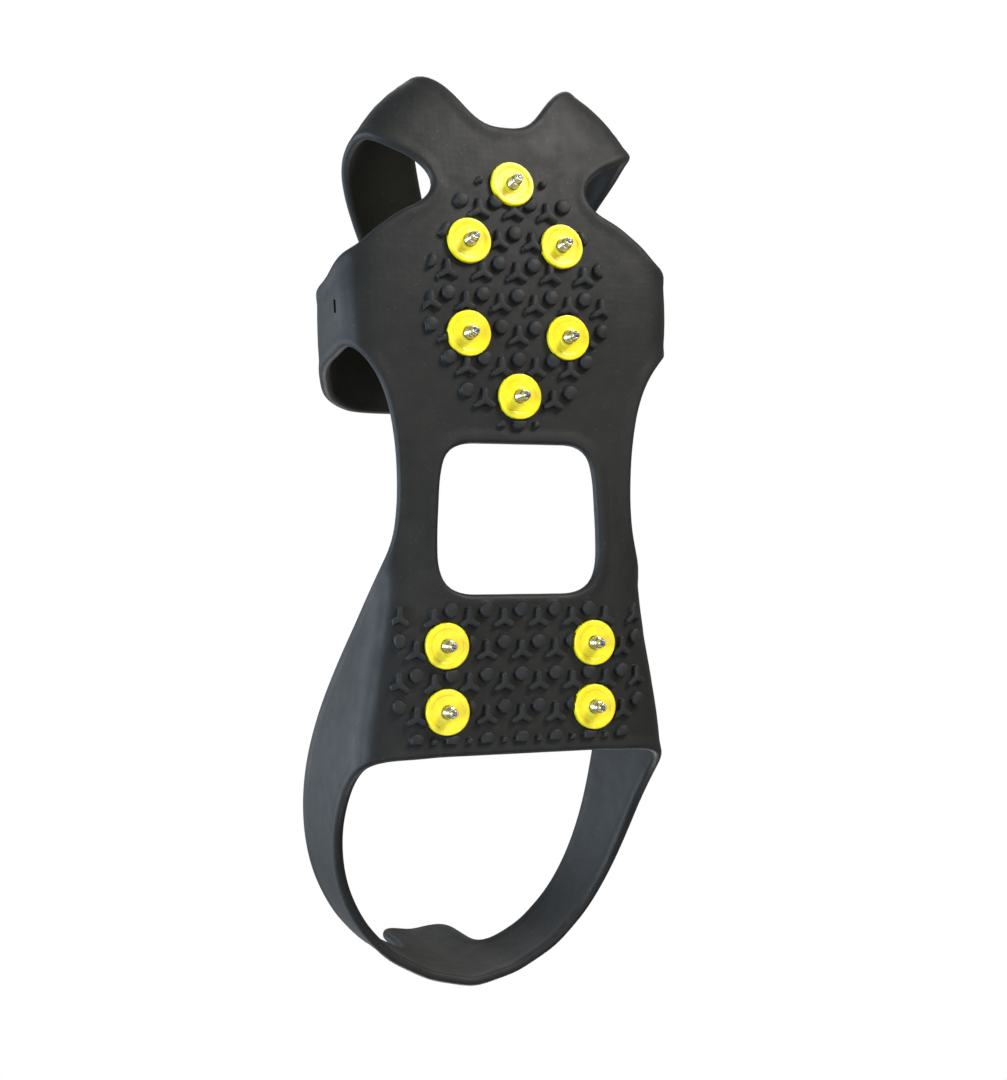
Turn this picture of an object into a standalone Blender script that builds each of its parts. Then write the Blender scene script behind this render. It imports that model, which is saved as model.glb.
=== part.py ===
"""Slip-on shoe ice cleat, one shoe's worth, in the shape it takes on a shoe.

A moulded rubber net (sole web, toe strap, heel strap, pull tab) carries ten
traction studs. Each stud is a plastic plug, a stepped steel pin and a hard tip.

The net is a sheet laid on the envelope of a shoe. Lengths in the design
functions are millimetres: x across, s back from the toe tip, z up from the
stud tips. The toe points along -Y. Objects are built in metres.
"""

import itertools
import math

import bmesh
import bpy
import numpy as np
from mathutils import Matrix, Vector
from mathutils.geometry import delaunay_2d_cdt
from mathutils.kdtree import KDTree

MM = 0.001
S_ORIGIN = 149.551  # s of the model's origin, the middle of its length
TINY = 1e-9
MIRROR = [-1, 1, 1]

# ------------------------------------------------------------- the envelope
# The sheet's outer face lies on it.
CENTRE_S = 150.0
CENTRE_Z = 38.0
STRETCH = 2.8  # the shoe is this much longer than wide
WEB_Z = 7.55  # outer face of the flat sole, above the stud tips
SHEET = 2.6  # thickness of the rubber
TOE_SPRING = 14.0  # rise of the sole at the toe tip
SPRING_FROM = 95.0  # the rise starts here
BOTTOM_POWER = 8.0  # how square the lower edge is
TOP_POWER = 2.5  # how round the upper is
POWER_TURN = 0.12  # direction's z component where the power starts to grow
POWER_TURN_SPAN = 0.34  # drop of that component over which it grows
PLAN_SMOOTHING = 3.0  # degrees, width of the corner rounding
SIDE_SMOOTHING = 2.2
TABLE = 4096  # angles in a gauge table
NORMAL_STEP = 2e-4  # chart distance for finite differences

# outline of the envelope from above: s, half width
PLAN = [
    (-1.0, 0.0), (0.5, 12.0), (4.0, 22.0), (9.0, 31.0), (16.0, 38.5),
    (26.0, 45.5), (40.0, 51.0), (60.0, 54.5), (82.0, 55.0), (100.0, 52.5),
    (120.0, 47.5), (140.0, 44.0), (158.0, 43.0), (174.0, 44.5), (190.0, 47.5),
    (206.0, 50.5), (222.0, 52.0), (240.0, 51.0), (256.0, 47.0), (270.0, 39.5),
    (281.0, 29.0), (288.5, 15.0), (292.0, 0.0),
]
# outline of the envelope from the side, before the toe spring: s, z
SIDE = [
    (262.0, WEB_Z), (277.0, 9.5), (286.0, 17.0), (290.0, 30.0), (291.2, 48.0),
    (290.4, 66.0), (288.6, 84.0), (286.6, 108.0), (284.0, 135.0),
    (230.0, 165.0), (160.0, 120.0), (132.0, 90.0), (110.0, 78.5),
    (100.0, 74.0), (80.0, 66.5), (60.0, 58.0), (40.0, 49.0), (30.0, 43.0),
    (20.0, 35.5), (11.0, 27.0), (5.0, 20.5), (1.6, 15.5), (1.0, 12.0),
    (3.5, 9.0), (9.0, WEB_Z),
]


def cross(a, b):
    return a[..., 0] * b[..., 1] - a[..., 1] * b[..., 0]


def smooth_gauge(outline, sigma_deg):
    """1 / radius of a closed outline against the angle, its corners rounded.

    Rounding 1 / radius keeps straight sides straight, because a straight line
    is a sinusoid there.
    """
    start = np.array(outline, float)
    end = np.roll(start, -1, axis=0)
    edge = end - start
    angle = np.arange(TABLE) * 2 * math.pi / TABLE
    ray = np.stack([np.cos(angle), np.sin(angle)], 1)
    past_start = cross(start[None], ray[:, None]) >= -TINY
    before_end = cross(ray[:, None], end[None]) >= -TINY
    facing = np.einsum("ni,mi->nm", ray, start + end) > 0
    hit = (past_start & before_end & facing).argmax(axis=1)
    gauge = cross(ray, edge[hit]) / cross(start[hit], edge[hit])
    sigma = math.radians(sigma_deg)
    frequency = np.fft.fftfreq(TABLE, 1.0 / TABLE)
    damping = np.exp(-0.5 * (frequency * sigma) ** 2)
    smooth = np.fft.ifft(np.fft.fft(gauge) * damping).real
    # restores the sinusoids, and so the straight sides, to full size
    return smooth * math.exp(0.5 * sigma**2)


def plan_outline():
    """Anticlockwise: from the heel over +x to the toe, then back over -x."""
    plus = [((s - CENTRE_S) / STRETCH, width) for s, width in PLAN]
    minus = [(along, -width) for along, width in plus[1:-1]]
    return plus[::-1] + minus


def side_outline():
    """Anticlockwise with s to the right and z up: heel, top, toe, sole."""
    return [((s - CENTRE_S) / STRETCH, z - CENTRE_Z) for s, z in SIDE]


PLAN_GAUGE = smooth_gauge(plan_outline(), PLAN_SMOOTHING)
SIDE_GAUGE = smooth_gauge(side_outline(), SIDE_SMOOTHING)


def look_up(gauge, angle):
    at = (angle / (2 * math.pi)) % 1.0 * TABLE
    low = np.floor(at).astype(int)
    part = at - low
    return gauge[low % TABLE] * (1 - part) + gauge[(low + 1) % TABLE] * part


def toe_spring(s):
    return TOE_SPRING * (np.clip(SPRING_FROM - s, 0, None) / SPRING_FROM) ** 2


def place(a, b):
    """Point of the envelope for a chart point. The chart is the +x half of the
    shoe seen from its middle, flattened: the plane x = 0 is the unit circle."""
    square = a * a + b * b
    across, along, up = (1 - square) / (1 + square), 2 * a / (1 + square), 2 * b / (1 + square)
    width = np.abs(across)
    plan = np.hypot(width, along) * look_up(PLAN_GAUGE, np.arctan2(width, along))
    plan_mid = np.abs(along) * np.where(along > 0, PLAN_GAUGE[0], PLAN_GAUGE[TABLE // 2])
    side = np.hypot(along, up) * look_up(SIDE_GAUGE, np.arctan2(up, along))
    t = np.clip((POWER_TURN - up) / POWER_TURN_SPAN, 0, 1)
    power = TOP_POWER + (BOTTOM_POWER - TOP_POWER) * t * t * (3 - 2 * t)
    rise = np.clip(side**power - plan_mid**power, 0, None)
    gauge = (plan**power + rise) ** (1 / power)
    radius = 1 / gauge
    s = CENTRE_S + STRETCH * along * radius
    return np.stack([across * radius, s, CENTRE_Z + up * radius + toe_spring(s)], -1)


def chart(x, s, z):
    """Chart point in the direction, from the shoe's middle, of a rough point
    given before the toe spring."""
    across, along, up = x, (s - CENTRE_S) / STRETCH, z - CENTRE_Z
    length = np.sqrt(across * across + along * along + up * up)
    across, along, up = across / length, along / length, up / length
    return np.stack([along / (1 + across), up / (1 + across)], -1)


def sole_chart(outline):
    """Chart points of an outline (x, s) on the flat of the sole."""
    flat = np.array(outline, float)
    return chart(flat[:, 0], flat[:, 1], np.full(len(flat), WEB_Z))


def outward_normals(spots):
    a, b = spots[:, 0], spots[:, 1]
    along_a = place(a + NORMAL_STEP, b) - place(a - NORMAL_STEP, b)
    along_b = place(a, b + NORMAL_STEP) - place(a, b - NORMAL_STEP)
    normal = np.cross(along_a, along_b)
    normal /= np.linalg.norm(normal, axis=1)[:, None]
    from_middle = place(a, b) - [0, CENTRE_S, CENTRE_Z]
    inward = (from_middle * normal * [1, 1 / STRETCH, 1]).sum(1) < 0
    normal[inward] *= -1
    return normal


# ------------------------------------------------------------- the outlines
# The +x half. Rough points (x, s, z before the toe spring) that the outline
# passes through; the curve between them is smooth. A narrow prong and, behind
# it, a broad wing join the sole to the toe strap.
FRONT_EDGE = [  # front of the sole, up the prong's inner edge, to the top
    (0, 23.0, WEB_Z), (5.5, 22.8, WEB_Z), (10, 20.0, WEB_Z), (14.5, 14.5, WEB_Z),
    (19.5, 9.0, WEB_Z + 0.4), (24.5, 5.6, 10.5), (26.8, 7.5, 17.5),
    (25.0, 13.0, 26.0), (20.5, 24.0, 36.5), (15.5, 37.0, 46.0),
    (10.0, 50.0, 53.0), (5.0, 58.5, 57.0), (0, 61.5, 59.0),
]
REAR_OF_TOE = [  # rear of the toe strap and wing, the waist, top of heel strap and tab
    (0, 105.0, 76.0), (9, 105.8, 75.5), (20, 107.5, 72.5), (32, 107.5, 66.0),
    (43, 104.0, 56.5), (51, 99.5, 45.0), (54, 96.0, 32.0), (54, 94.0, 20.0),
    (50.5, 94.5, 10.0), (45.5, 100.0, WEB_Z), (41.5, 108.5, WEB_Z),
    (39.3, 120.0, WEB_Z), (38.7, 130.0, WEB_Z), (39.3, 141.0, WEB_Z),
    (41.5, 151.0, 9.0), (43.0, 160.0, 15.5), (44.5, 171.0, 26.5),
    (46.5, 185.0, 39.5), (49.5, 203.0, 52.5), (50.5, 223.0, 62.5),
    (48.5, 246.0, 69.5), (39.5, 268.0, 73.0), (27.0, 281.0, 74.5),
    (19.0, 286.0, 75.6), (15.4, 287.5, 78.6), (14.5, 287.7, 83.0),
    (14.0, 287.0, 92.0), (13.6, 286.8, 100.0), (11.6, 286.6, 105.0),
    (7.0, 286.5, 107.6), (0, 286.5, 108.2),
]
HEEL_LOWER = [  # lower edge of the heel strap, then the rear edge of the sole
    (0, 290.0, 46.0), (20, 286.0, 46.0), (37, 273.0, 45.0), (46, 256.0, 41.0),
    (50.5, 240.0, 33.5), (51.5, 228.0, 24.5), (51.0, 220.0, 16.0),
    (49.0, 215.8, 10.0), (44.0, 214.6, WEB_Z), (30.0, 214.2, WEB_Z),
    (14.0, 214.0, WEB_Z), (0, 214.0, WEB_Z),
]
WINDOW = [  # opening in the waist of the sole
    (0, 166.0, WEB_Z), (10, 166.0, WEB_Z), (18.5, 165.6, WEB_Z),
    (23.4, 163.0, WEB_Z), (25.6, 158.0, WEB_Z), (26.0, 150.0, WEB_Z),
    (25.6, 140.0, WEB_Z), (24.8, 130.0, WEB_Z), (22.9, 124.0, WEB_Z),
    (18.5, 121.4, WEB_Z), (10, 121.0, WEB_Z), (0, 121.0, WEB_Z),
]
SIDE_OPENING = [  # closed: between the prong and the wing
    (25.0, 43.0, WEB_Z), (26.8, 38.6, WEB_Z), (32.5, 34.0, WEB_Z),
    (39.5, 31.0, WEB_Z + 0.6), (45.0, 29.0, 12.0), (47.0, 29.5, 20.0),
    (46.5, 33.5, 28.0), (43.0, 41.0, 36.5), (37.5, 51.0, 44.5),
    (31.5, 60.5, 51.0), (27.0, 67.5, 55.5), (26.5, 72.0, 58.0),
    (31.0, 75.5, 58.0), (39.0, 76.0, 54.0), (47.0, 74.5, 46.0),
    (52.5, 72.0, 34.0), (54.0, 69.0, 21.0), (51.0, 64.0, 11.0),
    (43.5, 57.0, WEB_Z), (35.5, 51.5, WEB_Z), (28.5, 48.0, WEB_Z),
]
# closed, with straight sides: a small slot in the wing
SLOT = [(54.5, 78.2, 17.0), (54.5, 81.9, 17.0), (54.5, 81.9, 18.6), (54.5, 78.2, 18.6)]

EDGE_STEP = 5.0  # between the points of an outline
CURVE_SAMPLES = 24  # between two rough points, before even spacing
# the outer loop in order: a curve, then the steps of the straight run on the
# middle plane to the next curve
OUTER_CURVES = (
    (FRONT_EDGE, 2 * EDGE_STEP),
    (REAR_OF_TOE, 2 * EDGE_STEP),
    (HEEL_LOWER, 3 * EDGE_STEP),
    (WINDOW, 3 * EDGE_STEP),
)


def smooth_line(rough, closed=False):
    """Evenly spaced points on a centripetal Catmull-Rom curve."""
    knots = np.array(rough, float)
    if closed:
        knots = np.vstack([knots[-1], knots, knots[0], knots[1]])
    else:
        # the curve meets the middle plane squarely
        knots = np.vstack([knots[1] * MIRROR, knots, knots[-2] * MIRROR])
    pieces = []
    for four in zip(knots[:-3], knots[1:-2], knots[2:-1], knots[3:]):
        time = [0.0]
        for start, end in zip(four, four[1:]):
            time.append(time[-1] + max(1e-6, np.linalg.norm(end - start)) ** 0.5)
        t = np.linspace(time[1], time[2], CURVE_SAMPLES, endpoint=False)[:, None]
        level = list(four)
        for span in (1, 2):
            level = [blend(level[i], level[i + 1], time[i], time[i + span], t)
                     for i in range(len(level) - 1)]
        pieces.append(blend(level[0], level[1], time[1], time[2], t))
    dense = np.vstack(pieces + [knots[-2:-1]])
    on = place(*chart(*dense.T).T)
    run = np.concatenate([[0], np.cumsum(np.linalg.norm(np.diff(on, axis=0), axis=1))])
    count = max(2, int(round(run[-1] / EDGE_STEP)))
    at = np.linspace(0, run[-1], count + 1)
    line = np.stack([np.interp(at, run, dense[:, i]) for i in range(3)], 1)
    return line[:-1] if closed else line


def blend(first, last, t_first, t_last, t):
    span = t_last - t_first
    return (t_last - t) / span * first + (t - t_first) / span * last


def seam_line(start, end, step):
    """Points on the middle plane between two rough points, ends left out."""
    count = max(1, int(round(np.linalg.norm(np.subtract(end, start)) / step)))
    t = np.linspace(0, 1, count + 1)[1:-1, None]
    return np.array(start) * (1 - t) + np.array(end) * t


def outer_loop():
    """The half's outer loop, as rough points."""
    parts = []
    for i, (curve, step) in enumerate(OUTER_CURVES):
        following = OUTER_CURVES[(i + 1) % len(OUTER_CURVES)][0]
        parts += [smooth_line(curve), seam_line(curve[-1], following[0], step)]
    return np.vstack(parts)


def inside(points, loop):
    """Even-odd test of many points against one loop."""
    x, y = points[:, 0][:, None], points[:, 1][:, None]
    x0, y0 = loop[:, 0][None], loop[:, 1][None]
    x1, y1 = np.roll(loop[:, 0], -1)[None], np.roll(loop[:, 1], -1)[None]
    spans = (y0 > y) != (y1 > y)
    with np.errstate(divide="ignore", invalid="ignore"):
        at = x0 + (y - y0) * (x1 - x0) / (y1 - y0)
    return ((spans & (x < at)).sum(axis=1) % 2).astype(bool)


# --------------------------------------------------- studs' places and tread
# across, back from the toe tip
STUDS = [
    (0.0, 41.9), (-15.2, 60.3), (15.2, 60.3), (-16.2, 88.3), (16.2, 88.3),
    (0.0, 106.7), (-24.0, 181.1), (24.0, 181.1), (-24.0, 200.6), (24.0, 200.6),
]
STUD_HOLE = 4.75  # radius of the hole in the web
HOLE_SIDES = 14
CLEAR_OF_STUD = 7.5
STUD_REACH = 12  # lugs centred farther away are not trimmed

LUG_HEIGHT = 1.75
LUG_PITCH = 11.2
ROW_PITCH = 9.6
DOT_R = 2.25
STAR_ARM = 3.6
STAR_HALF_WIDTH = 0.85
STAR_SETBACK = 3.0  # stars lie this far behind their row of dots
DOT_LEAST = 0.4  # share of a lug that trimming must leave
STAR_LEAST = 0.75

FRONT_PATCH_S = 79.5  # centre of the front patch, an ellipse
FRONT_PATCH_HALF = (30.5, 37.0)  # half axes in x and s
REAR_PATCH_X = 36.0  # half width of the rear patch, a rectangle
REAR_PATCH_S = (169.0, 208.5)

# ribs across the pull tab, one above another
RIBS = 4
RIB_Z = 84.5  # lower edge of the lowest rib
RIB_PITCH = 5.0
RIB_WIDTH = 1.8
RIB_HALF = (9.0, 9.6)  # half length at the edges and to the pointed end
RIB_S = 287.0
RIB_HEIGHT = 0.7
RIB_ABOVE = 60  # raised places above this z are ribs, not lugs


def clip(poly, depths):
    """The part of a polygon where the depth, given at its corners, is not negative."""
    out = []
    for i, (here, depth) in enumerate(zip(poly, depths)):
        there, other = poly[(i + 1) % len(poly)], depths[(i + 1) % len(poly)]
        if depth >= 0:
            out.append(here)
        if (depth > TINY and other < -TINY) or (depth < -TINY and other > TINY):
            t = depth / (depth - other)
            out.append((here[0] + t * (there[0] - here[0]), here[1] + t * (there[1] - here[1])))
    return out


def keep_plus_x(poly):
    """The part of a polygon with x >= 0, its cut corners at exactly 0."""
    half = clip(poly, [x for x, _ in poly])
    return [(x if x > TINY else 0.0, s) for x, s in half]


def area(poly):
    return 0.5 * sum(
        a[0] * b[1] - b[0] * a[1] for a, b in zip(poly, poly[1:] + poly[:1])
    )


def clear_of_studs(poly, centre):
    """The polygon trimmed square to the studs that it comes too near."""
    for stud_x, stud_s in STUDS:
        away_x, away_s = centre[0] - stud_x, centre[1] - stud_s
        away = math.hypot(away_x, away_s)
        if away > STUD_REACH:
            continue
        away_x, away_s = away_x / away, away_s / away
        poly = clip(poly, [
            (x - stud_x) * away_x + (s - stud_s) * away_s - CLEAR_OF_STUD for x, s in poly
        ])
        if len(poly) < 3:
            return []
    return poly


def dot(x, s):
    return [
        (x + DOT_R * math.sin(i * math.pi / 4 + math.pi / 8),
         s + DOT_R * math.cos(i * math.pi / 4 + math.pi / 8))
        for i in range(8)
    ]


def star(x, s):
    """Three arms, one towards the toe."""
    half, out = STAR_HALF_WIDTH, []
    for i in range(3):
        turn = -math.pi / 2 + i * 2 * math.pi / 3
        arm_x, arm_s = math.cos(turn), math.sin(turn)
        # the inner corner lies between this arm and the next
        corner, reach = turn + math.pi / 3, 2 * half / math.sqrt(3)
        out += [
            (x + arm_x * STAR_ARM + arm_s * half, s + arm_s * STAR_ARM - arm_x * half),
            (x + arm_x * STAR_ARM - arm_s * half, s + arm_s * STAR_ARM + arm_x * half),
            (x + reach * math.cos(corner), s + reach * math.sin(corner)),
        ]
    return out


def in_front_patch(x, s):
    half_x, half_s = FRONT_PATCH_HALF
    return (x / half_x) ** 2 + ((s - FRONT_PATCH_S) / half_s) ** 2 < 1.0


def in_rear_patch(x, s):
    return abs(x) < REAR_PATCH_X and REAR_PATCH_S[0] < s < REAR_PATCH_S[1]


# s of the first row, rows, parity of the rows with a dot at x = 0, patch
LUG_ROWS = ((47.5, 8, 1, in_front_patch), (170.6, 5, 0, in_rear_patch))
# shape, its offset in x and s from the row's dots, least share left
LUG_SHAPES = ((dot, 0.0, 0.0, DOT_LEAST), (star, LUG_PITCH / 2, STAR_SETBACK, STAR_LEAST))


def tread():
    """The +x half of the tread's polygons, on the flat of the sole."""
    lugs = []
    for first_row, rows, centred, in_patch in LUG_ROWS:
        for row, column in itertools.product(range(rows), range(-1, 5)):
            shift = 0.0 if row % 2 == centred else LUG_PITCH / 2
            for shape, offset_x, offset_s, least in LUG_SHAPES:
                x = column * LUG_PITCH + shift + offset_x
                s = first_row + ROW_PITCH * row + offset_s
                if x < -1e-6 or not in_patch(x, s):
                    continue
                whole = shape(x, s)
                poly = clear_of_studs(keep_plus_x(whole), (x, s))
                mirrored = 2 if x < 1e-6 else 1
                if abs(area(poly)) / abs(area(whole)) * mirrored > least:
                    lugs.append(poly)
    return lugs


def stud_holes():
    holes = []
    for stud_x, stud_s in STUDS:
        if stud_x < 0:
            continue
        turns = [2 * math.pi * (i + 0.5) / HOLE_SIDES for i in range(HOLE_SIDES)]
        ring = [(stud_x + STUD_HOLE * math.sin(t), stud_s + STUD_HOLE * math.cos(t))
                for t in turns]
        holes.append(sole_chart(keep_plus_x(ring)))
    return holes


def tab_ribs():
    ribs = []
    shoulder, point = RIB_HALF
    for i in range(RIBS):
        z = RIB_Z + RIB_PITCH * i
        x = np.array([0, shoulder, point, shoulder, 0])
        height = np.array([z, z, z + RIB_WIDTH / 2, z + RIB_WIDTH, z + RIB_WIDTH])
        ribs.append(chart(x, np.full(len(x), RIB_S), height))
    return ribs


# ---------------------------------------------------------- the rubber net
FLAT_NORMAL_Z = -0.985  # normals below this are on the flat of the sole
FLAT_STEP = 11.0  # spacing of the points inside the outlines
TOE_STEP = 4.6
TOE_END_S = 22.0
OTHER_STEP = 7.0
SEAM_CLEARANCE = 0.42  # least distance to the middle plane, in spacings
LINE_CLEARANCE = 0.62  # least distance to an outline, in spacings
LINE_STEP = 2.0  # points along the outlines that others keep clear of
CHART_GRID = 330  # candidate points along each side of the chart
CHART_LIMIT = 0.9999  # squared chart radius that candidates stay within
SEARCH_CELL = 4.0
# a chart stretched along the shoe gives better-shaped triangles
CHART_STRETCH = [1.7, 1]


def spacing(points, normal):
    """Coarse on the flat of the sole, fine round the toe's corners."""
    flat = normal[:, 2] < FLAT_NORMAL_Z
    return np.where(flat, FLAT_STEP, np.where(points[:, 1] < TOE_END_S, TOE_STEP, OTHER_STEP))


def candidates(outer, others):
    """Grid of chart points inside the outer loop and outside the others."""
    low, high = outer.min(axis=0), outer.max(axis=0)
    sides = [np.linspace(low[i], high[i], CHART_GRID) for i in range(2)]
    a, b = np.meshgrid(*sides, indexing="ij")
    spots = np.stack([a.ravel(), b.ravel()], 1)
    spots = spots[(spots**2).sum(1) < CHART_LIMIT]
    ok = inside(spots, outer)
    for loop in others:
        ok &= ~inside(spots, loop)
    return spots[ok]


def points_along(loops):
    """Closely spaced points on the edges of chart loops."""
    lines = []
    for loop in loops:
        on = place(loop[:, 0], loop[:, 1])
        for start, end in zip(on, np.roll(on, -1, axis=0)):
            count = max(1, int(math.ceil(np.linalg.norm(end - start) / LINE_STEP)))
            lines.append(start + (end - start) * (np.arange(count)[:, None] / count))
    return np.vstack(lines)


def spread(outer, others):
    """Chart points between the loops, about one spacing apart."""
    spots = candidates(outer, others)
    points = place(spots[:, 0], spots[:, 1])
    wanted = spacing(points, outward_normals(spots))
    keep_off = points_along([outer] + others)
    lines = KDTree(len(keep_off))
    for i, point in enumerate(keep_off):
        lines.insert(Vector(point), i)
    lines.balance()
    taken, chosen = {}, []
    for i, (point, gap) in enumerate(zip(points, wanted)):
        if point[0] < SEAM_CLEARANCE * gap:
            continue
        if lines.find(Vector(point))[2] < LINE_CLEARANCE * gap:
            continue
        cell = tuple(np.floor(point / SEARCH_CELL).astype(int))
        reach = int(math.ceil(gap / SEARCH_CELL))
        cells = itertools.product(*(range(c - reach, c + reach + 1) for c in cell))
        crowded = any(
            ((points[j] - point) ** 2).sum() < gap * gap
            for near in cells for j in taken.get(near, ())
        )
        if not crowded:
            taken.setdefault(cell, []).append(i)
            chosen.append(i)
    return spots[chosen]


def on_seam(spots):
    return (spots**2).sum(-1) > 1 - TINY


def snap_to_seam(loop):
    """Moves the loop's points at the middle plane exactly onto it."""
    seam = on_seam(loop)
    loop[seam] /= np.linalg.norm(loop[seam], axis=1)[:, None]


def wrap(angle):
    return (angle + math.pi) % (2 * math.pi) - math.pi


def with_seam_corners(outer, others):
    """The outer loop, with the other loops' corners on the middle plane added."""
    touch = np.vstack(others)
    touch = touch[on_seam(touch)]
    turns = np.arctan2(touch[:, 1], touch[:, 0])
    whole = []
    for here, there in zip(outer, np.roll(outer, -1, axis=0)):
        whole.append(here)
        if not (on_seam(here) and on_seam(there)):
            continue
        start = math.atan2(here[1], here[0])
        span = wrap(math.atan2(there[1], there[0]) - start)
        along = wrap(turns - start) / span
        for k in np.argsort(along):
            if 1e-6 < along[k] < 1 - 1e-6 and np.abs(touch[k] - whole[-1]).max() > TINY:
                whole.append(touch[k])
    return np.array(whole)


def triangulate(outer, holes, caps):
    """Chart points, triangles, which are raised, and which points are on the seam."""
    loops = [outer] + holes + caps
    points, edges, index = [], [], {}

    def vertex(spot):
        key = (round(float(spot[0]), 9), round(float(spot[1]), 9))
        if key not in index:
            index[key] = len(points)
            points.append(key)
        return index[key]

    for loop in loops:
        ring = [vertex(spot) for spot in loop]
        edges += [(i, j) for i, j in zip(ring, ring[1:] + ring[:1]) if i != j]
    for spot in spread(outer, holes + caps):
        vertex(spot)
    stretch = CHART_STRETCH[0]
    flat = [Vector((stretch * a, b)) for a, b in points]
    verts, _, faces, origin, _, _ = delaunay_2d_cdt(flat, edges, [], 0, TINY)
    spots = np.array([(v.x / stretch, v.y) for v in verts])
    for i, source in enumerate(origin):
        if source:
            spots[i] = points[source[0]]

    triangles = np.array(faces, int)
    middles = spots[triangles].mean(axis=1) * CHART_STRETCH
    ok = inside(middles, outer * CHART_STRETCH)
    for loop in holes:
        ok &= ~inside(middles, loop * CHART_STRETCH)
    seam = np.abs((spots**2).sum(1) - 1) < 1e-7
    ok &= ~seam[triangles].all(axis=1)  # a sliver on the middle plane has no area
    triangles, middles = triangles[ok], middles[ok]
    raised = np.zeros(len(triangles), bool)
    for loop in caps:
        raised |= inside(middles, loop * CHART_STRETCH)
    return spots, triangles, raised, seam


def sheet_surface():
    """Points, normals, triangles and raised flags of the whole outer face."""
    outer = chart(*outer_loop().T)
    holes = [chart(*smooth_line(SIDE_OPENING, closed=True).T), chart(*np.array(SLOT).T)]
    holes += stud_holes()
    caps = [sole_chart(poly) for poly in tread()] + tab_ribs()
    for loop in [outer] + holes + caps:
        snap_to_seam(loop)
    outer = with_seam_corners(outer, holes + caps)
    spots, tri, raised, seam = triangulate(outer, holes, caps)

    points = place(spots[:, 0], spots[:, 1])
    normal = outward_normals(spots)
    points[seam, 0] = 0
    normal[seam, 0] = 0
    normal /= np.linalg.norm(normal, axis=1)[:, None]
    # faces turn outwards
    corners = points[tri]
    face_normal = np.cross(corners[:, 1] - corners[:, 0], corners[:, 2] - corners[:, 0])
    wrong = (face_normal * normal[tri].sum(axis=1)).sum(1) < 0
    tri[wrong] = tri[wrong][:, ::-1]

    # the -x half, sharing the points on the seam
    count = len(points)
    twin = np.where(seam, np.arange(count), np.arange(count) + count)
    return (
        np.vstack([points, points * MIRROR]),
        np.vstack([normal, normal * MIRROR]),
        np.vstack([tri, twin[tri][:, ::-1]]),
        np.concatenate([raised, raised]),
    )


def net():
    """Vertices (mm, design frame) and faces of the whole rubber net."""
    points, normal, triangles, raised = sheet_surface()
    verts, faces, number = [], [], {}

    def corner(level, i):
        key = (level, int(i))
        if key not in number:
            top = LUG_HEIGHT if points[i][2] < RIB_ABOVE else RIB_HEIGHT
            offset = {"outer": 0.0, "inner": -SHEET, "top": top}[level]
            number[key] = len(verts)
            verts.append(points[i] + normal[i] * offset)
        return number[key]

    sides = {}
    for triangle, up in zip(triangles, raised):
        level = "top" if up else "outer"
        faces.append([corner(level, i) for i in triangle])
        faces.append([corner("inner", i) for i in triangle[::-1]])
        for i, j in zip(triangle, np.roll(triangle, -1)):
            sides[(int(i), int(j))] = up
    # walls at the sheet's edges and round the raised places
    for (i, j), up in sides.items():
        other = sides.get((j, i))
        if other is None:
            below = "inner"
        elif up and not other:
            below = "outer"
        else:
            continue
        above = "top" if up else "outer"
        faces.append([corner(above, j), corner(above, i), corner(below, i), corner(below, j)])
    return np.array(verts), faces


# ------------------------------------------------------------ Blender parts
def clear_scene():
    for obj in list(bpy.data.objects):
        bpy.data.objects.remove(obj, do_unlink=True)


def world(point):
    return (point[0] * MM, (point[1] - S_ORIGIN) * MM, point[2] * MM)


def finish(name, colour, roughness, metallic=0.0):
    material = bpy.data.materials.new(name)
    material.use_nodes = True
    shader = material.node_tree.nodes["Principled BSDF"]
    shader.inputs["Base Color"].default_value = (*colour, 1)
    shader.inputs["Roughness"].default_value = roughness
    shader.inputs["Metallic"].default_value = metallic
    material.diffuse_color = (*colour, 1)
    return material


def add_object(name, mesh):
    obj = bpy.data.objects.new(name, mesh)
    bpy.context.scene.collection.objects.link(obj)
    return obj


def mesh_from(name, bm):
    bmesh.ops.recalc_face_normals(bm, faces=bm.faces[:])
    mesh = bpy.data.meshes.new(name)
    bm.to_mesh(mesh)
    bm.free()
    return mesh


# ------------------------------------------- cutters that part the rubber net
TOE_AXIS = (0.0, 14.0)  # s, z of the line that the toe strap folds about
TOE_CUT_R = 38.0
TOE_CUT_X = 44.2  # half width of the toe cutter
HEEL_AXIS = (190.0, 14.0)
HEEL_CUT_R = 30.0
HEEL_CUT_X = 80.0
TAB_AXIS = (287.9, 77.2)
TAB_CUT_X = 40.0
STRAP_END_Z = 75.5
TAB_START_Z = 78.9
CUT_GAP = 0.4
ARC_STEPS = 24

# Each outline (s, z) goes on from its arc's end. The wide ones cut the sole web.
TOE_ARC = (22, 140)  # degrees
TOE_REST = [(-70.0, 190.0), (150.0, 190.0), (150.0, 28.2)]
TOE_WIDE_REST = [(-70.5, 190.5), (150.5, 190.5), (150.5, 28.0)]
HEEL_ARC = (108, -14)
HEEL_REST = [
    (330.0, 2.0), (330.0, STRAP_END_Z), (262.0, STRAP_END_Z), (262.0, 150.0), (160.0, 150.0),
]
HEEL_WIDE_ARC = (108.6, -14.6)
HEEL_WIDE_REST = [(330.0, 1.0), (330.0, 151.0), (159.4, 151.0)]
TAB_OUTLINE = [(262.5, TAB_START_Z), (330.0, TAB_START_Z), (330.0, 150.0), (262.5, 150.0)]


def arc(axis, radius, degrees):
    start, end = degrees
    turns = [math.radians(start + (end - start) * i / ARC_STEPS) for i in range(ARC_STEPS + 1)]
    return [(axis[0] + radius * math.cos(t), axis[1] + radius * math.sin(t)) for t in turns]


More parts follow.
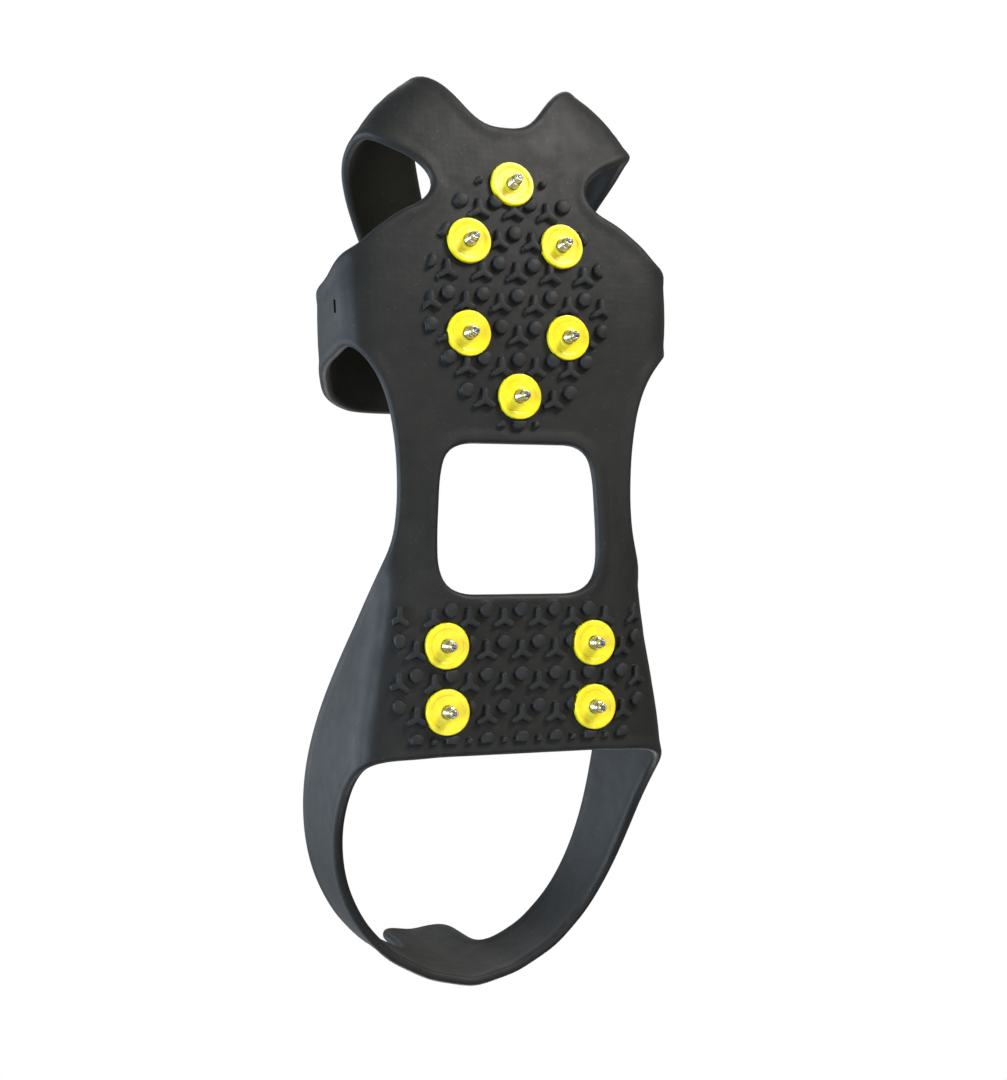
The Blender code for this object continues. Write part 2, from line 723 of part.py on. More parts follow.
def cutter(name, outline, half_width):
    """A hidden prism: an outline in s and z, extruded across the shoe."""
    bm = bmesh.new()
    face = bm.faces.new([bm.verts.new(world((-half_width, s, z))) for s, z in outline])
    swept = bmesh.ops.extrude_face_region(bm, geom=[face])["geom"]
    moved = [part for part in swept if isinstance(part, bmesh.types.BMVert)]
    bmesh.ops.translate(bm, verts=moved, vec=(2 * half_width * MM, 0, 0))
    obj = add_object(name, mesh_from(name, bm))
    obj.hide_render = True
    obj.display_type = "WIRE"
    return obj


def add_boolean(obj, tool, operation):
    modifier = obj.modifiers.new(f"{operation.lower()}_{tool.name}", "BOOLEAN")
    modifier.object = tool
    modifier.operation = operation
    modifier.solver = "EXACT"


def rubber_piece(name, axis, verts, faces, operation, tools):
    """The whole net, cut down to one piece, with its origin on the axis."""
    at = (0, 0, 0) if axis is None else world((0, *axis))
    mesh = bpy.data.meshes.new(name)
    mesh.from_pydata([tuple(v) for v in verts - np.array(at)], [], faces)
    mesh.update()
    mesh.materials.append(finish(name + "_rubber", colour=(0.028, 0.030, 0.032), roughness=0.55))
    obj = add_object(name, mesh)
    obj.location = at
    for tool in tools:
        add_boolean(obj, tool, operation)


def build_rubber():
    verts, faces = net()
    verts = np.array([world(v) for v in verts])
    toe = cutter("cutter_toe", arc(TOE_AXIS, TOE_CUT_R, TOE_ARC) + TOE_REST, TOE_CUT_X)
    toe_wide = cutter(
        "cutter_toe_wide",
        arc(TOE_AXIS, TOE_CUT_R - CUT_GAP, TOE_ARC) + TOE_WIDE_REST,
        TOE_CUT_X + CUT_GAP)
    heel = cutter("cutter_heel", arc(HEEL_AXIS, HEEL_CUT_R, HEEL_ARC) + HEEL_REST, HEEL_CUT_X)
    heel_wide = cutter(
        "cutter_heel_wide",
        arc(HEEL_AXIS, HEEL_CUT_R - CUT_GAP, HEEL_WIDE_ARC) + HEEL_WIDE_REST,
        HEEL_CUT_X + 0.5)
    tab = cutter("cutter_tab", TAB_OUTLINE, TAB_CUT_X)
    for name, axis, operation, tools in (
        ("sole_web", None, "DIFFERENCE", (toe_wide, heel_wide)),
        ("toe_strap", TOE_AXIS, "INTERSECT", (toe,)),
        ("heel_strap", HEEL_AXIS, "INTERSECT", (heel,)),
        ("pull_tab", TAB_AXIS, "INTERSECT", (tab,)),
    ):
        rubber_piece(name, axis, verts, faces, operation, tools)


# ----------------------------------------------------------------- the studs
# Profiles: radius, height along the stud from the web's outer face, inwards.
PLUG_SIDES = 14
PIN_SIDES = 10
SHARP_DEG = 35
OUT_FACE = -1.85
TIP_END = -WEB_Z
PLUG = [  # closed round a bore
    (2.15, OUT_FACE + 0.35), (5.3, OUT_FACE + 0.3), (5.8, OUT_FACE),
    (6.6, OUT_FACE), (6.85, OUT_FACE + 0.4), (6.85, -0.3), (4.4, -0.3),
    (4.4, SHEET + 0.3), (8.25, SHEET + 0.3), (8.25, SHEET + 1.4),
    (0.8, SHEET + 1.4), (0.8, SHEET + 0.7), (3.1, SHEET + 0.7),
    (3.1, SHEET - 1.0), (2.15, SHEET - 1.0),
]
PIN = [
    (0.0, SHEET + 0.5), (2.85, SHEET + 0.5), (2.85, SHEET - 0.75),
    (1.9, SHEET - 0.75), (1.75, -4.6), (1.2, -4.8), (1.2, TIP_END + 0.35),
    (0.82, TIP_END + 0.35), (0.82, TIP_END + 1.9), (0.0, TIP_END + 1.9),
]
TIP = [
    (0.0, TIP_END + 1.7), (0.68, TIP_END + 1.7), (0.68, TIP_END + 0.15),
    (0.5, TIP_END), (0.0, TIP_END),
]


def turned(name, profile, sides, material):
    """A profile turned about Z; it is closed unless it starts on the axis."""
    bm = bmesh.new()
    rings = []
    for radius, height in profile:
        if radius == 0:
            rings.append([bm.verts.new((0, 0, height * MM))])
            continue
        turns = [2 * math.pi * (i + 0.5) / sides for i in range(sides)]
        rings.append([
            bm.verts.new((radius * MM * math.sin(t), radius * MM * math.cos(t), height * MM))
            for t in turns
        ])
    pairs = list(zip(rings, rings[1:]))
    if profile[0][0] > 0:
        pairs.append((rings[-1], rings[0]))
    for low, high in pairs:
        for i in range(sides):
            j = (i + 1) % sides
            if len(low) == 1:
                bm.faces.new((low[0], high[i], high[j]))
            elif len(high) == 1:
                bm.faces.new((low[i], high[0], low[j]))
            else:
                bm.faces.new((low[i], high[i], high[j], low[j]))
    mesh = mesh_from(name, bm)
    mesh.shade_smooth()
    mesh.set_sharp_from_angle(angle=math.radians(SHARP_DEG))
    mesh.materials.append(material)
    return mesh


def stud_meshes():
    yellow = finish("plug_yellow_plastic", colour=(0.93, 0.80, 0.01), roughness=0.35)
    steel = finish("pin_steel", colour=(0.62, 0.62, 0.60), roughness=0.28, metallic=1.0)
    carbide = finish("tip_carbide", colour=(0.22, 0.22, 0.23), roughness=0.35, metallic=1.0)
    return (
        turned("plug", PLUG, PLUG_SIDES, yellow),
        turned("pin", PIN, PIN_SIDES, steel),
        turned("tip", TIP, PIN_SIDES, carbide),
    )


def build_studs():
    """Studs stand square to the sole, which curves up towards the toe."""
    meshes = [(mesh.name, mesh) for mesh in stud_meshes()]
    spots = sole_chart([(abs(x), s) for x, s in STUDS])
    seats, normal = place(spots[:, 0], spots[:, 1]), outward_normals(spots)
    for i, (x, _) in enumerate(STUDS):
        # the envelope gives the +x half; 0 puts a stud on the middle plane
        side = [np.sign(x), 1, 1]
        inwards = Vector(-normal[i] * side).normalized()
        turn = Vector((0, 0, 1)).rotation_difference(inwards).to_matrix().to_4x4()
        spot = Matrix.Translation(world(seats[i] * side))
        for kind, mesh in meshes:
            obj = add_object(f"stud_{kind}_{i + 1:02d}", mesh)
            obj.matrix_world = spot @ turn


def build():
    clear_scene()
    build_rubber()
    # stud meshes left from an earlier run would make Blender number the new ones
    build_studs()


build()
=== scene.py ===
"""Looks of a studded ice cleat: a rubber net worn over a shoe.

The net is a fine moulded sheet with rolled edges, tread lugs, tab ribs and the
dimples of its inner face. It is split where nothing bends, into a forefoot, a
heel and a pull tab. The studs are turned parts.

Lengths in the design functions are millimetres: x across, s back from the toe
tip, z up from the stud tips. The toe points along -Y.
"""

import math
from itertools import product

import bmesh
import bpy
import numpy as np
from mathutils import Matrix, Vector
from mathutils.geometry import delaunay_2d_cdt
from mathutils.kdtree import KDTree

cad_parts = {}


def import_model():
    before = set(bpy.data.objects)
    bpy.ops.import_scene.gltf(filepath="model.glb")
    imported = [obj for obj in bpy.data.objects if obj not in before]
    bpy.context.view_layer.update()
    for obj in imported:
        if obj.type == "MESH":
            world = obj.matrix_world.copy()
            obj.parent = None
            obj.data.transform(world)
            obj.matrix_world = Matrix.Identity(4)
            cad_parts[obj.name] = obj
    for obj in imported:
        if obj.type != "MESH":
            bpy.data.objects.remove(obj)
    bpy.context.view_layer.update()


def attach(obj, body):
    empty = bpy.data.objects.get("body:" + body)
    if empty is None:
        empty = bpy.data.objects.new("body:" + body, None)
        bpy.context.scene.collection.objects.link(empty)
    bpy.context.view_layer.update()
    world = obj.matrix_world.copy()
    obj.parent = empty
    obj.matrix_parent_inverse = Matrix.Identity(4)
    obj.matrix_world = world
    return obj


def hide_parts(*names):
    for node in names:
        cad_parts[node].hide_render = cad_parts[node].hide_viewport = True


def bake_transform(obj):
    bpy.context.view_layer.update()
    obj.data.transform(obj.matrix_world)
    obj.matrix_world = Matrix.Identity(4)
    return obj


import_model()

MM = 0.001
MIRROR = np.array([-1, 1, 1])
S_ORIGIN = 149.551  # the s that lies at Y = 0
CENTRE_S, CENTRE_Z = 150.0, 38.0  # the envelope is seen from this middle
STRETCH = 2.8  # s is divided by this before directions are taken
WEB_Z = 7.55
TOE_SPRING, SPRING_FROM = 14.0, 95.0  # lift at the toe tip, and the s it starts at
BOTTOM_POWER, TOP_POWER = 8.0, 2.5  # how square the cross section is
PLAN_BLUR, SIDE_BLUR = 3.0, 2.2  # rounding of the two outlines, in degrees

# the sheet
SHEET = 2.6
RIM = 3.3  # thickness of the rolled edge
RIM_OUT = 0.42  # how far the rolled edge stands proud outside
RIM_FADE = 3.4  # width over which the rolled edge runs out into the sheet

# plan of the envelope, right half: (s, x)
PLAN = [
    (-1.0, 0.0), (0.5, 12.0), (4.0, 22.0), (9.0, 31.0), (16.0, 38.5),
    (26.0, 45.5), (40.0, 51.0), (60.0, 54.5), (82.0, 55.0), (100.0, 52.5),
    (120.0, 47.5), (140.0, 44.0), (158.0, 43.0), (174.0, 44.5), (190.0, 47.5),
    (206.0, 50.5), (222.0, 52.0), (240.0, 51.0), (256.0, 47.0), (270.0, 39.5),
    (281.0, 29.0), (288.5, 15.0), (292.0, 0.0),
]
# outline of the envelope from the side: (s, z)
SIDE = [
    (262.0, WEB_Z), (277.0, 9.5), (286.0, 17.0), (290.0, 30.0), (291.2, 48.0),
    (290.4, 66.0), (288.6, 84.0), (286.6, 108.0), (284.0, 135.0),
    (230.0, 165.0), (160.0, 120.0), (132.0, 90.0), (110.0, 78.5),
    (100.0, 74.0), (80.0, 66.5), (60.0, 58.0), (40.0, 49.0), (30.0, 43.0),
    (20.0, 35.5), (11.0, 27.0), (5.0, 20.5), (1.6, 15.5), (1.0, 12.0),
    (3.5, 9.0), (9.0, WEB_Z),
]
# middles of the studs: (x, s)
STUDS = [
    (0.0, 41.9), (-15.2, 60.3), (15.2, 60.3), (-16.2, 88.3), (16.2, 88.3),
    (0.0, 106.7), (-24.0, 181.1), (24.0, 181.1), (-24.0, 200.6), (24.0, 200.6),
]
STUD_HOLE = 4.7  # radius
STUD_HOLE_SIDES = 28

# tread
LUG_PITCH, ROW_PITCH = 11.2, 9.6
STAR_SHIFT = 3.0  # the stars stand this far behind their row of dots
DOT_R = 2.2
STAR_ARM, STAR_HALF_WIDTH = 3.6, 0.88
NUB_R, NUB_PLACE = 1.05, (10.4, 41.0)
CLEAR_OF_STUD = 7.25
LUG_SHOULDER = 1.68  # height of the edge round a lug's top
# nested outlines, from the sheet up: (growth of the outline, height)
LUG_STEPS = [(0.30, 0.0), (0.10, 0.20), (-0.06, 1.40), (-0.20, LUG_SHOULDER), (-0.46, 1.80)]
RIB_STEPS = [(0.30, 0.0), (0.02, 0.30), (-0.22, 0.52)]
DIMPLE_STEPS = [(0.12, 0.0), (-0.18, 0.5)]
FRONT_PATCH = (79.5, 30.0, 37.0)  # s of the centre, half width, half length
TREAD_PATCHES = (("front", 47.5, 8), ("rear", 170.6, 5))  # name, s of first row, rows
RIBS = ((9.4, 86.0), (9.4, 90.6), (9.4, 95.2), (6.4, 99.8))  # half length, z
RIB_HALF_WIDTH, RIB_S = 0.75, 287.0
DIMPLE_HALF_SIZE = (0.95, 0.5)
DIMPLE_PATCHES = (("front", 46.0, 116.0), ("rear", 172.0, 208.0))  # name, from s, to s
DIMPLE_PITCH, DIMPLE_ROW_PITCH = 5.6, 4.8
DIMPLE_CLEAR_OF_STUD = 10.2

# ------------------------------------------------------------- the envelope
TABLE = 4096


def smooth_gauge(outline, blur_degrees):
    """1 / radius of a closed outline against the angle, its corners rounded."""
    start = np.array(outline, float)
    end = np.roll(start, -1, axis=0)
    edge = end - start
    angle = np.arange(TABLE) * 2 * math.pi / TABLE
    ray = np.stack([np.cos(angle), np.sin(angle)], 1)

    def cross(one, two):
        return one[..., 0] * two[..., 1] - one[..., 1] * two[..., 0]

    past_start = cross(start[None], ray[:, None])
    before_end = cross(ray[:, None], end[None])
    facing = np.einsum("ni,mi->nm", ray, start + end) > 0
    hit = (past_start >= -1e-9) & (before_end >= -1e-9) & facing
    pick = hit.argmax(axis=1)
    gauge = cross(ray, edge[pick]) / cross(start[pick], edge[pick])
    sigma = math.radians(blur_degrees)
    wave = np.fft.fftfreq(TABLE, 1.0 / TABLE)
    smooth = np.fft.ifft(np.fft.fft(gauge) * np.exp(-0.5 * (wave * sigma) ** 2)).real
    return smooth * math.exp(0.5 * sigma**2)


def plan_outline():
    right = [((s - CENTRE_S) / STRETCH, x) for s, x in PLAN]
    left = [(s, -x) for s, x in right[1:-1]]
    return right[::-1] + left


PLAN_GAUGE = smooth_gauge(plan_outline(), PLAN_BLUR)
SIDE_GAUGE = smooth_gauge(
    [((s - CENTRE_S) / STRETCH, z - CENTRE_Z) for s, z in SIDE], SIDE_BLUR
)


def look_up(table, angle):
    place_in = (angle / (2 * math.pi)) % 1.0 * TABLE
    low = np.floor(place_in).astype(int)
    part = place_in - low
    return table[low % TABLE] * (1 - part) + table[(low + 1) % TABLE] * part


def toe_spring(s):
    return TOE_SPRING * (np.clip(SPRING_FROM - s, 0, None) / SPRING_FROM) ** 2


def level(points):
    """Points of the envelope with the toe spring taken out."""
    out = points.copy()
    out[:, 2] -= toe_spring(out[:, 1])
    return out


def place(flat):
    """Points of the envelope for chart points. The chart is the +x half of the
    shoe seen from its middle, flattened: the plane x = 0 is the unit circle."""
    along, up = flat[..., 0], flat[..., 1]
    square = along * along + up * up
    way_x, way_s, way_z = (1 - square) / (1 + square), 2 * along / (1 + square), 2 * up / (1 + square)
    across = np.abs(way_x)
    plan = np.hypot(across, way_s) * look_up(PLAN_GAUGE, np.arctan2(across, way_s))
    plan_mid = np.abs(way_s) * np.where(way_s > 0, PLAN_GAUGE[0], PLAN_GAUGE[TABLE // 2])
    side = np.hypot(way_s, way_z) * look_up(SIDE_GAUGE, np.arctan2(way_z, way_s))
    # the section turns from the top power to the bottom one over this band
    ease = np.clip((0.20 - way_z) / 0.46, 0, 1)
    low = ease * ease * (3 - 2 * ease)

    def reach(power):
        return (plan**power + np.clip(side**power - plan_mid**power, 0, None)) ** (-1 / power)

    radius = (1 - low) * reach(TOP_POWER) + low * reach(BOTTOM_POWER)
    s = CENTRE_S + STRETCH * way_s * radius
    return np.stack([way_x * radius, s, CENTRE_Z + way_z * radius + toe_spring(s)], -1)


def chart(points):
    """Chart points for rough points given before the toe spring."""
    x, s, z = points[..., 0], (points[..., 1] - CENTRE_S) / STRETCH, points[..., 2] - CENTRE_Z
    size = np.sqrt(x * x + s * s + z * z)
    x, s, z = x / size, s / size, z / size
    return np.stack([s / (1 + x), z / (1 + x)], -1)


def web_chart(outline):
    """Chart points for an outline of (x, s) on the web under the shoe."""
    outline = np.array(outline)
    return chart(np.column_stack([outline, np.full(len(outline), WEB_Z)]))


def normals(flat):
    step = 2e-4
    along = place(flat + [step, 0]) - place(flat - [step, 0])
    up = place(flat + [0, step]) - place(flat - [0, step])
    ways = np.cross(along, up)
    ways /= np.linalg.norm(ways, axis=1)[:, None]
    outward = (place(flat) - [0, CENTRE_S, CENTRE_Z]) * ways * [1, 1 / STRETCH, 1]
    ways[outward.sum(1) < 0] *= -1
    return ways


# ------------------------------------------------------------- the outlines
# rough points (x, s, z) before the toe spring
FRONT_EDGE = [
    (0, 23.0, WEB_Z), (5.5, 22.8, WEB_Z), (10, 20.0, WEB_Z), (14.5, 14.5, WEB_Z),
    (19.5, 9.0, WEB_Z + 0.4), (24.5, 5.6, 10.5), (26.8, 7.5, 17.5),
    (25.0, 13.0, 26.0), (20.5, 24.0, 36.5), (15.5, 37.0, 46.0),
    (10.0, 50.0, 53.0), (5.0, 58.5, 57.0), (0, 61.5, 59.0),
]
REAR_OF_TOE = [
    (0, 105.0, 76.0), (9, 105.8, 75.5), (20, 107.5, 72.5), (32, 107.5, 66.0),
    (43, 104.0, 56.5), (51, 99.5, 45.0), (54, 96.0, 32.0), (54, 94.0, 20.0),
    (50.5, 94.5, 10.0), (45.5, 100.0, WEB_Z), (41.5, 108.5, WEB_Z),
    (39.3, 120.0, WEB_Z), (38.7, 130.0, WEB_Z), (39.3, 141.0, WEB_Z),
    (41.5, 151.0, 9.0), (43.0, 160.0, 15.5), (44.5, 171.0, 26.5),
    (46.5, 185.0, 39.5), (49.5, 203.0, 52.5), (50.5, 223.0, 62.5),
    (48.5, 246.0, 69.5), (39.5, 268.0, 73.0), (27.0, 281.0, 74.5),
    (19.0, 286.0, 75.6), (15.4, 287.5, 78.6), (14.5, 287.7, 83.0),
    (14.0, 287.0, 92.0), (13.6, 286.8, 100.0), (11.6, 286.6, 105.0),
    (7.0, 286.5, 107.6), (0, 286.5, 108.2),
]
HEEL_LOWER = [
    (0, 290.0, 46.0), (20, 286.0, 46.0), (37, 273.0, 45.0), (46, 256.0, 41.0),
    (50.5, 240.0, 33.5), (51.5, 228.0, 24.5), (51.0, 220.0, 16.0),
    (49.0, 215.8, 10.0), (44.0, 214.6, WEB_Z), (30.0, 214.2, WEB_Z),
    (14.0, 214.0, WEB_Z), (0, 214.0, WEB_Z),
]
WINDOW = [
    (0, 166.0, WEB_Z), (10, 166.0, WEB_Z), (18.5, 165.6, WEB_Z),
    (23.4, 163.0, WEB_Z), (25.6, 158.0, WEB_Z), (26.0, 150.0, WEB_Z),
    (25.6, 140.0, WEB_Z), (24.8, 130.0, WEB_Z), (22.9, 124.0, WEB_Z),
    (18.5, 121.4, WEB_Z), (10, 121.0, WEB_Z), (0, 121.0, WEB_Z),
]
SIDE_OPENING = [
    (25.0, 43.0, WEB_Z), (26.8, 38.6, WEB_Z), (32.5, 34.0, WEB_Z),
    (39.5, 31.0, WEB_Z + 0.6), (45.0, 29.0, 12.0), (47.0, 29.5, 20.0),
    (46.5, 33.5, 28.0), (43.0, 41.0, 36.5), (37.5, 51.0, 44.5),
    (31.5, 60.5, 51.0), (27.0, 67.5, 55.5), (26.5, 72.0, 58.0),
    (31.0, 75.5, 58.0), (39.0, 76.0, 54.0), (47.0, 74.5, 46.0),
    (52.5, 72.0, 34.0), (54.0, 69.0, 21.0), (51.0, 64.0, 11.0),
    (43.5, 57.0, WEB_Z), (35.5, 51.5, WEB_Z), (28.5, 48.0, WEB_Z),
]
SLOT = [(54.5, 78.2, 17.0), (54.5, 81.9, 17.0), (54.5, 81.9, 18.6), (54.5, 78.2, 18.6)]

SPAN_POINTS = 24  # curve points between two given ones
BLUR_STEP = 0.4  # spacing at which an outline is smoothed


def settle(points):
    """The points of the envelope nearest to rough ones, before the toe spring."""
    target = np.array(points, float)
    guess = target.copy()
    for _ in range(12):
        flat = chart(guess)
        surface, ways = level(place(flat)), normals(flat)
        off = target - surface
        guess = surface + 0.9 * (off - ways * (ways * off).sum(1)[:, None])
        guess[target[:, 0] == 0, 0] = 0
    return guess


def spline_span(four):
    """Centripetal curve points from the second of four points to the third."""
    knots = [0.0]
    for start, end in zip(four, four[1:]):
        knots.append(knots[-1] + max(1e-6, np.linalg.norm(end - start)) ** 0.5)
    run = np.linspace(knots[1], knots[2], SPAN_POINTS, endpoint=False)[:, None]

    def between(left, right, first, last):
        low, high = knots[first], knots[last]
        return (high - run) / (high - low) * left + (run - low) / (high - low) * right

    one, two, three = (between(four[i], four[i + 1], i, i + 1) for i in range(3))
    return between(between(one, two, 0, 2), between(two, three, 1, 3), 1, 2)


def respace(line, surface, step):
    """The line at even steps of the length that is measured along the surface."""
    lengths = np.linalg.norm(np.diff(surface, axis=0), axis=1)
    run = np.concatenate([[0], np.cumsum(lengths)])
    stops = np.linspace(0, run[-1], max(2, int(round(run[-1] / step))) + 1)
    return np.stack([np.interp(stops, run, line[:, i]) for i in range(3)], 1)


def smooth_line(points, step, sigma, closed):
    """Evenly spaced rough points on a smooth curve through the given points."""
    given = settle(points)
    if closed:
        given = np.vstack([given[-1], given, given[0], given[1]])
    else:
        given = np.vstack([given[1] * MIRROR, given, given[-2] * MIRROR])
    spans = [spline_span(given[i:i + 4]) for i in range(len(given) - 3)]
    surface = place(chart(np.vstack(spans + [given[-2:-1]])))
    even = respace(level(surface), surface, BLUR_STEP)
    # blur the curve, carried on past its ends
    half = int(4 * sigma / BLUR_STEP)
    if closed:
        wide = np.vstack([even[-1 - half:-1], even, even[1:half + 1]])
    else:
        wide = np.vstack([even[half:0:-1] * MIRROR, even, even[-2:-half - 2:-1] * MIRROR])
    kernel = np.exp(-0.5 * (np.arange(-half, half + 1) * BLUR_STEP / sigma) ** 2)
    kernel /= kernel.sum()
    blurred = np.stack([np.convolve(wide[:, i], kernel, "valid") for i in range(3)], 1)
    if not closed:
        blurred[0, 0] = blurred[-1, 0] = 0
    line = respace(blurred, place(chart(blurred)), step)
    if closed:
        return line[:-1]
    line[0], line[-1] = blurred[0], blurred[-1]
    return line


def inside(points, loop):
    """Even-odd test of many points against one loop."""
    out = np.zeros(len(points), bool)
    near = ((points >= loop.min(axis=0)) & (points <= loop.max(axis=0))).all(axis=1)
    if not near.any():
        return out
    x, y = points[near, 0][:, None], points[near, 1][:, None]
    start_x, start_y = loop[:, 0][None], loop[:, 1][None]
    end_x, end_y = np.roll(loop[:, 0], -1)[None], np.roll(loop[:, 1], -1)[None]
    spans = (start_y > y) != (end_y > y)
    with np.errstate(divide="ignore", invalid="ignore"):
        crossing = start_x + (y - start_y) * (end_x - start_x) / (end_y - start_y)
    out[near] = ((spans & (x < crossing)).sum(axis=1) % 2).astype(bool)
    return out


# ---------------------------------------------------------------- the tread
def cut_half_plane(poly, edge_x, edge_s, way_x, way_s):
    """The part of a polygon on the side of the edge point that the way points to."""
    depth = [(x - edge_x) * way_x + (s - edge_s) * way_s for x, s in poly]
    out = []
    for i, (start, from_edge) in enumerate(zip(poly, depth)):
        end, end_from = poly[(i + 1) % len(poly)], depth[(i + 1) % len(poly)]
        if from_edge >= 0:
            out.append(start)
        if (from_edge > 1e-9 and end_from < -1e-9) or (from_edge < -1e-9 and end_from > 1e-9):
            part = from_edge / (from_edge - end_from)
            out.append(tuple(a + part * (b - a) for a, b in zip(start, end)))
    return out


def keep_right(poly):
    return [(max(x, 0.0), s) for x, s in cut_half_plane(poly, 0.0, 0.0, 1.0, 0.0)]


def area(poly):
    return abs(0.5 * sum(a[0] * b[1] - b[0] * a[1] for a, b in zip(poly, poly[1:] + poly[:1])))


def circle_points(x, s, radius, angles):
    return [(x + radius * math.sin(turn), s + radius * math.cos(turn)) for turn in angles]


def dot(x, s, grow):
    """An octagon with its corners taken off."""
    angles = [i * math.pi / 4 + math.pi / 8 + d for i in range(8) for d in (-0.15, 0.15)]
    return circle_points(x, s, DOT_R + grow, angles)


def nub(x, s, grow):
    """A plain small octagon."""
    return circle_points(x, s, NUB_R + grow, [i * math.pi / 4 for i in range(8)])


def star(x, s, grow):
    """Three round-ended arms, one towards the toe."""
    width, arm, chamfer = STAR_HALF_WIDTH + grow, STAR_ARM + grow, 0.42
    reach = 2 * width / math.sqrt(3) + 0.28  # of the filled inner corners
    arm_end = ((arm - chamfer, width), (arm, width - chamfer),
               (arm, chamfer - width), (arm - chamfer, -width))
    out = []
    for i in range(3):
        turn = -math.pi / 2 + i * 2 * math.pi / 3
        way_x, way_s = math.cos(turn), math.sin(turn)
        for along, across in arm_end:
            out.append((x + way_x * along + way_s * across, s + way_s * along - way_x * across))
        inner = turn + math.pi / 3
        for d in (-0.24, 0.24):
            out.append((x + reach * math.cos(inner + d), s + reach * math.sin(inner + d)))
    return out


def bar(x, s, half_length, half_width, grow):
    """A rectangle with its corners cut off."""
    a, b, cut = half_length + grow, half_width + grow, 0.3
    return [(x - a, s - b + cut), (x - a, s + b - cut), (x - a + cut, s + b),
            (x + a - cut, s + b), (x + a, s + b - cut), (x + a, s - b + cut),
            (x + a - cut, s - b), (x - a + cut, s - b)]


def trimmed(shape, x, s, grow, limits):
    """The grown shape, cut by half planes that move out as it grows."""
    poly = shape(x, s, grow)
    for edge_x, edge_s, way_x, way_s in limits:
        moved_x, moved_s = edge_x - way_x * grow, edge_s - way_s * grow
        poly = cut_half_plane(poly, moved_x, moved_s, way_x, way_s)
        if len(poly) < 3:
            return []
    poly = keep_right(poly)
    return poly if len(poly) > 2 else []


def front_limits(x, s, is_star):
    """The half plane of the front patch's oval edge, or None outside the patch."""
    mid, half_width, half_length = FRONT_PATCH
    if s < 50 and x < 18 and not is_star:  # these dots stand whole
        return []
    oval = math.hypot(x / half_width, (s - mid) / half_length)
    if oval > (1.1 if is_star else 1.0) or (oval > 1.03 and 100 < s < 116):
        return None
    if oval <= 0.8:
        return []
    slope_x, slope_s = x / half_width**2, (s - mid) / half_length**2
    slope = math.hypot(slope_x, slope_s)
    return [(x / oval, mid + (s - mid) / oval, -slope_x / slope, -slope_s / slope)]


def rear_limits(x, s):
    """The half plane behind the rear patch, or None outside the patch."""
    half_width = 28.5 if s < 172 else 34.0 if s > 206 else 40.5
    if abs(x) > half_width or not 169 < s < 213:
        return None
    return [(0.0, 210.0, 0.0, -1.0)]


def limits_at(x, s, patch, is_star):
    """Half planes that bound a lug at (x, s): the studs, and the patch's edge."""
    out = []
    for stud_x, stud_s in STUDS:
        off_x, off_s = x - stud_x, s - stud_s
        away = math.hypot(off_x, off_s)
        if away < 1e-6:
            return None
        if away < 13:
            way_x, way_s = off_x / away, off_s / away
            edge_x, edge_s = stud_x + way_x * CLEAR_OF_STUD, stud_s + way_s * CLEAR_OF_STUD
            out.append((edge_x, edge_s, way_x, way_s))
    border = front_limits(x, s, is_star) if patch == "front" else rear_limits(x, s)
    return None if border is None else out + border


def least_share(s, is_star):
    """How much of a trimmed lug has to be left for it to stand."""
    if s > 206:
        return 0.06
    if 114 < s < 130 or s < 52:
        return 0.10
    return 0.20 if is_star else 0.35


def lug_nest(shape, x, s, patch):
    """Nested polygons of one lug, [(polygon, height), ...], or None."""
    is_star = shape is star
    limits = limits_at(x, s, patch, is_star)
    if limits is None:
        return None
    whole = area(shape(x, s, 0)) / (2 if x < 1e-6 else 1)
    if area(trimmed(shape, x, s, 0, limits)) < least_share(s, is_star) * whole:
        return None
    nest = [(trimmed(shape, x, s, grow, limits), height) for grow, height in LUG_STEPS]
    if not all(poly for poly, _ in nest) or area(nest[-1][0]) < 0.3:
        return None
    return nest


def tread():
    """The nests of all lugs on the right half."""
    lugs = [[(nub(*NUB_PLACE, grow), height) for grow, height in LUG_STEPS]]
    for patch, first_row, rows in TREAD_PATCHES:
        for row in range(rows):
            s = first_row + ROW_PITCH * row
            shift = 0.0 if (row % 2 == 0) == (patch == "rear") else LUG_PITCH / 2
            for i in range(-5, 5):
                x = i * LUG_PITCH + shift
                for shape, lug_x, lug_s in ((dot, x, s), (star, x + LUG_PITCH / 2, s + STAR_SHIFT)):
                    if lug_x < -1e-6:
                        continue
                    nest = lug_nest(shape, lug_x, lug_s, patch)
                    if nest:
                        lugs.append(nest)
    return lugs


def outer_nests():
    """Chart nests of the outer face: lugs and tab ribs."""
    out = [[(web_chart(poly), height) for poly, height in nest] for nest in tread()]
    for half_length, z in RIBS:
        nest = []
        for grow, height in RIB_STEPS:
            outline = np.array(keep_right(bar(0.0, z, half_length, RIB_HALF_WIDTH, grow)))
            s = np.full(len(outline), RIB_S)
            nest.append((chart(np.column_stack([outline[:, 0], s, outline[:, 1]])), height))
        out.append(nest)
    return out


def has_dimple(x, s, patch):
    if patch == "front" and math.hypot(x / 29.0, (s - 80) / 35.0) > 1:
        return False
    if patch == "rear" and x > 36:
        return False
    gap = min(math.hypot(abs(stud_x) - x, stud_s - s) for stud_x, stud_s in STUDS)
    return gap >= DIMPLE_CLEAR_OF_STUD


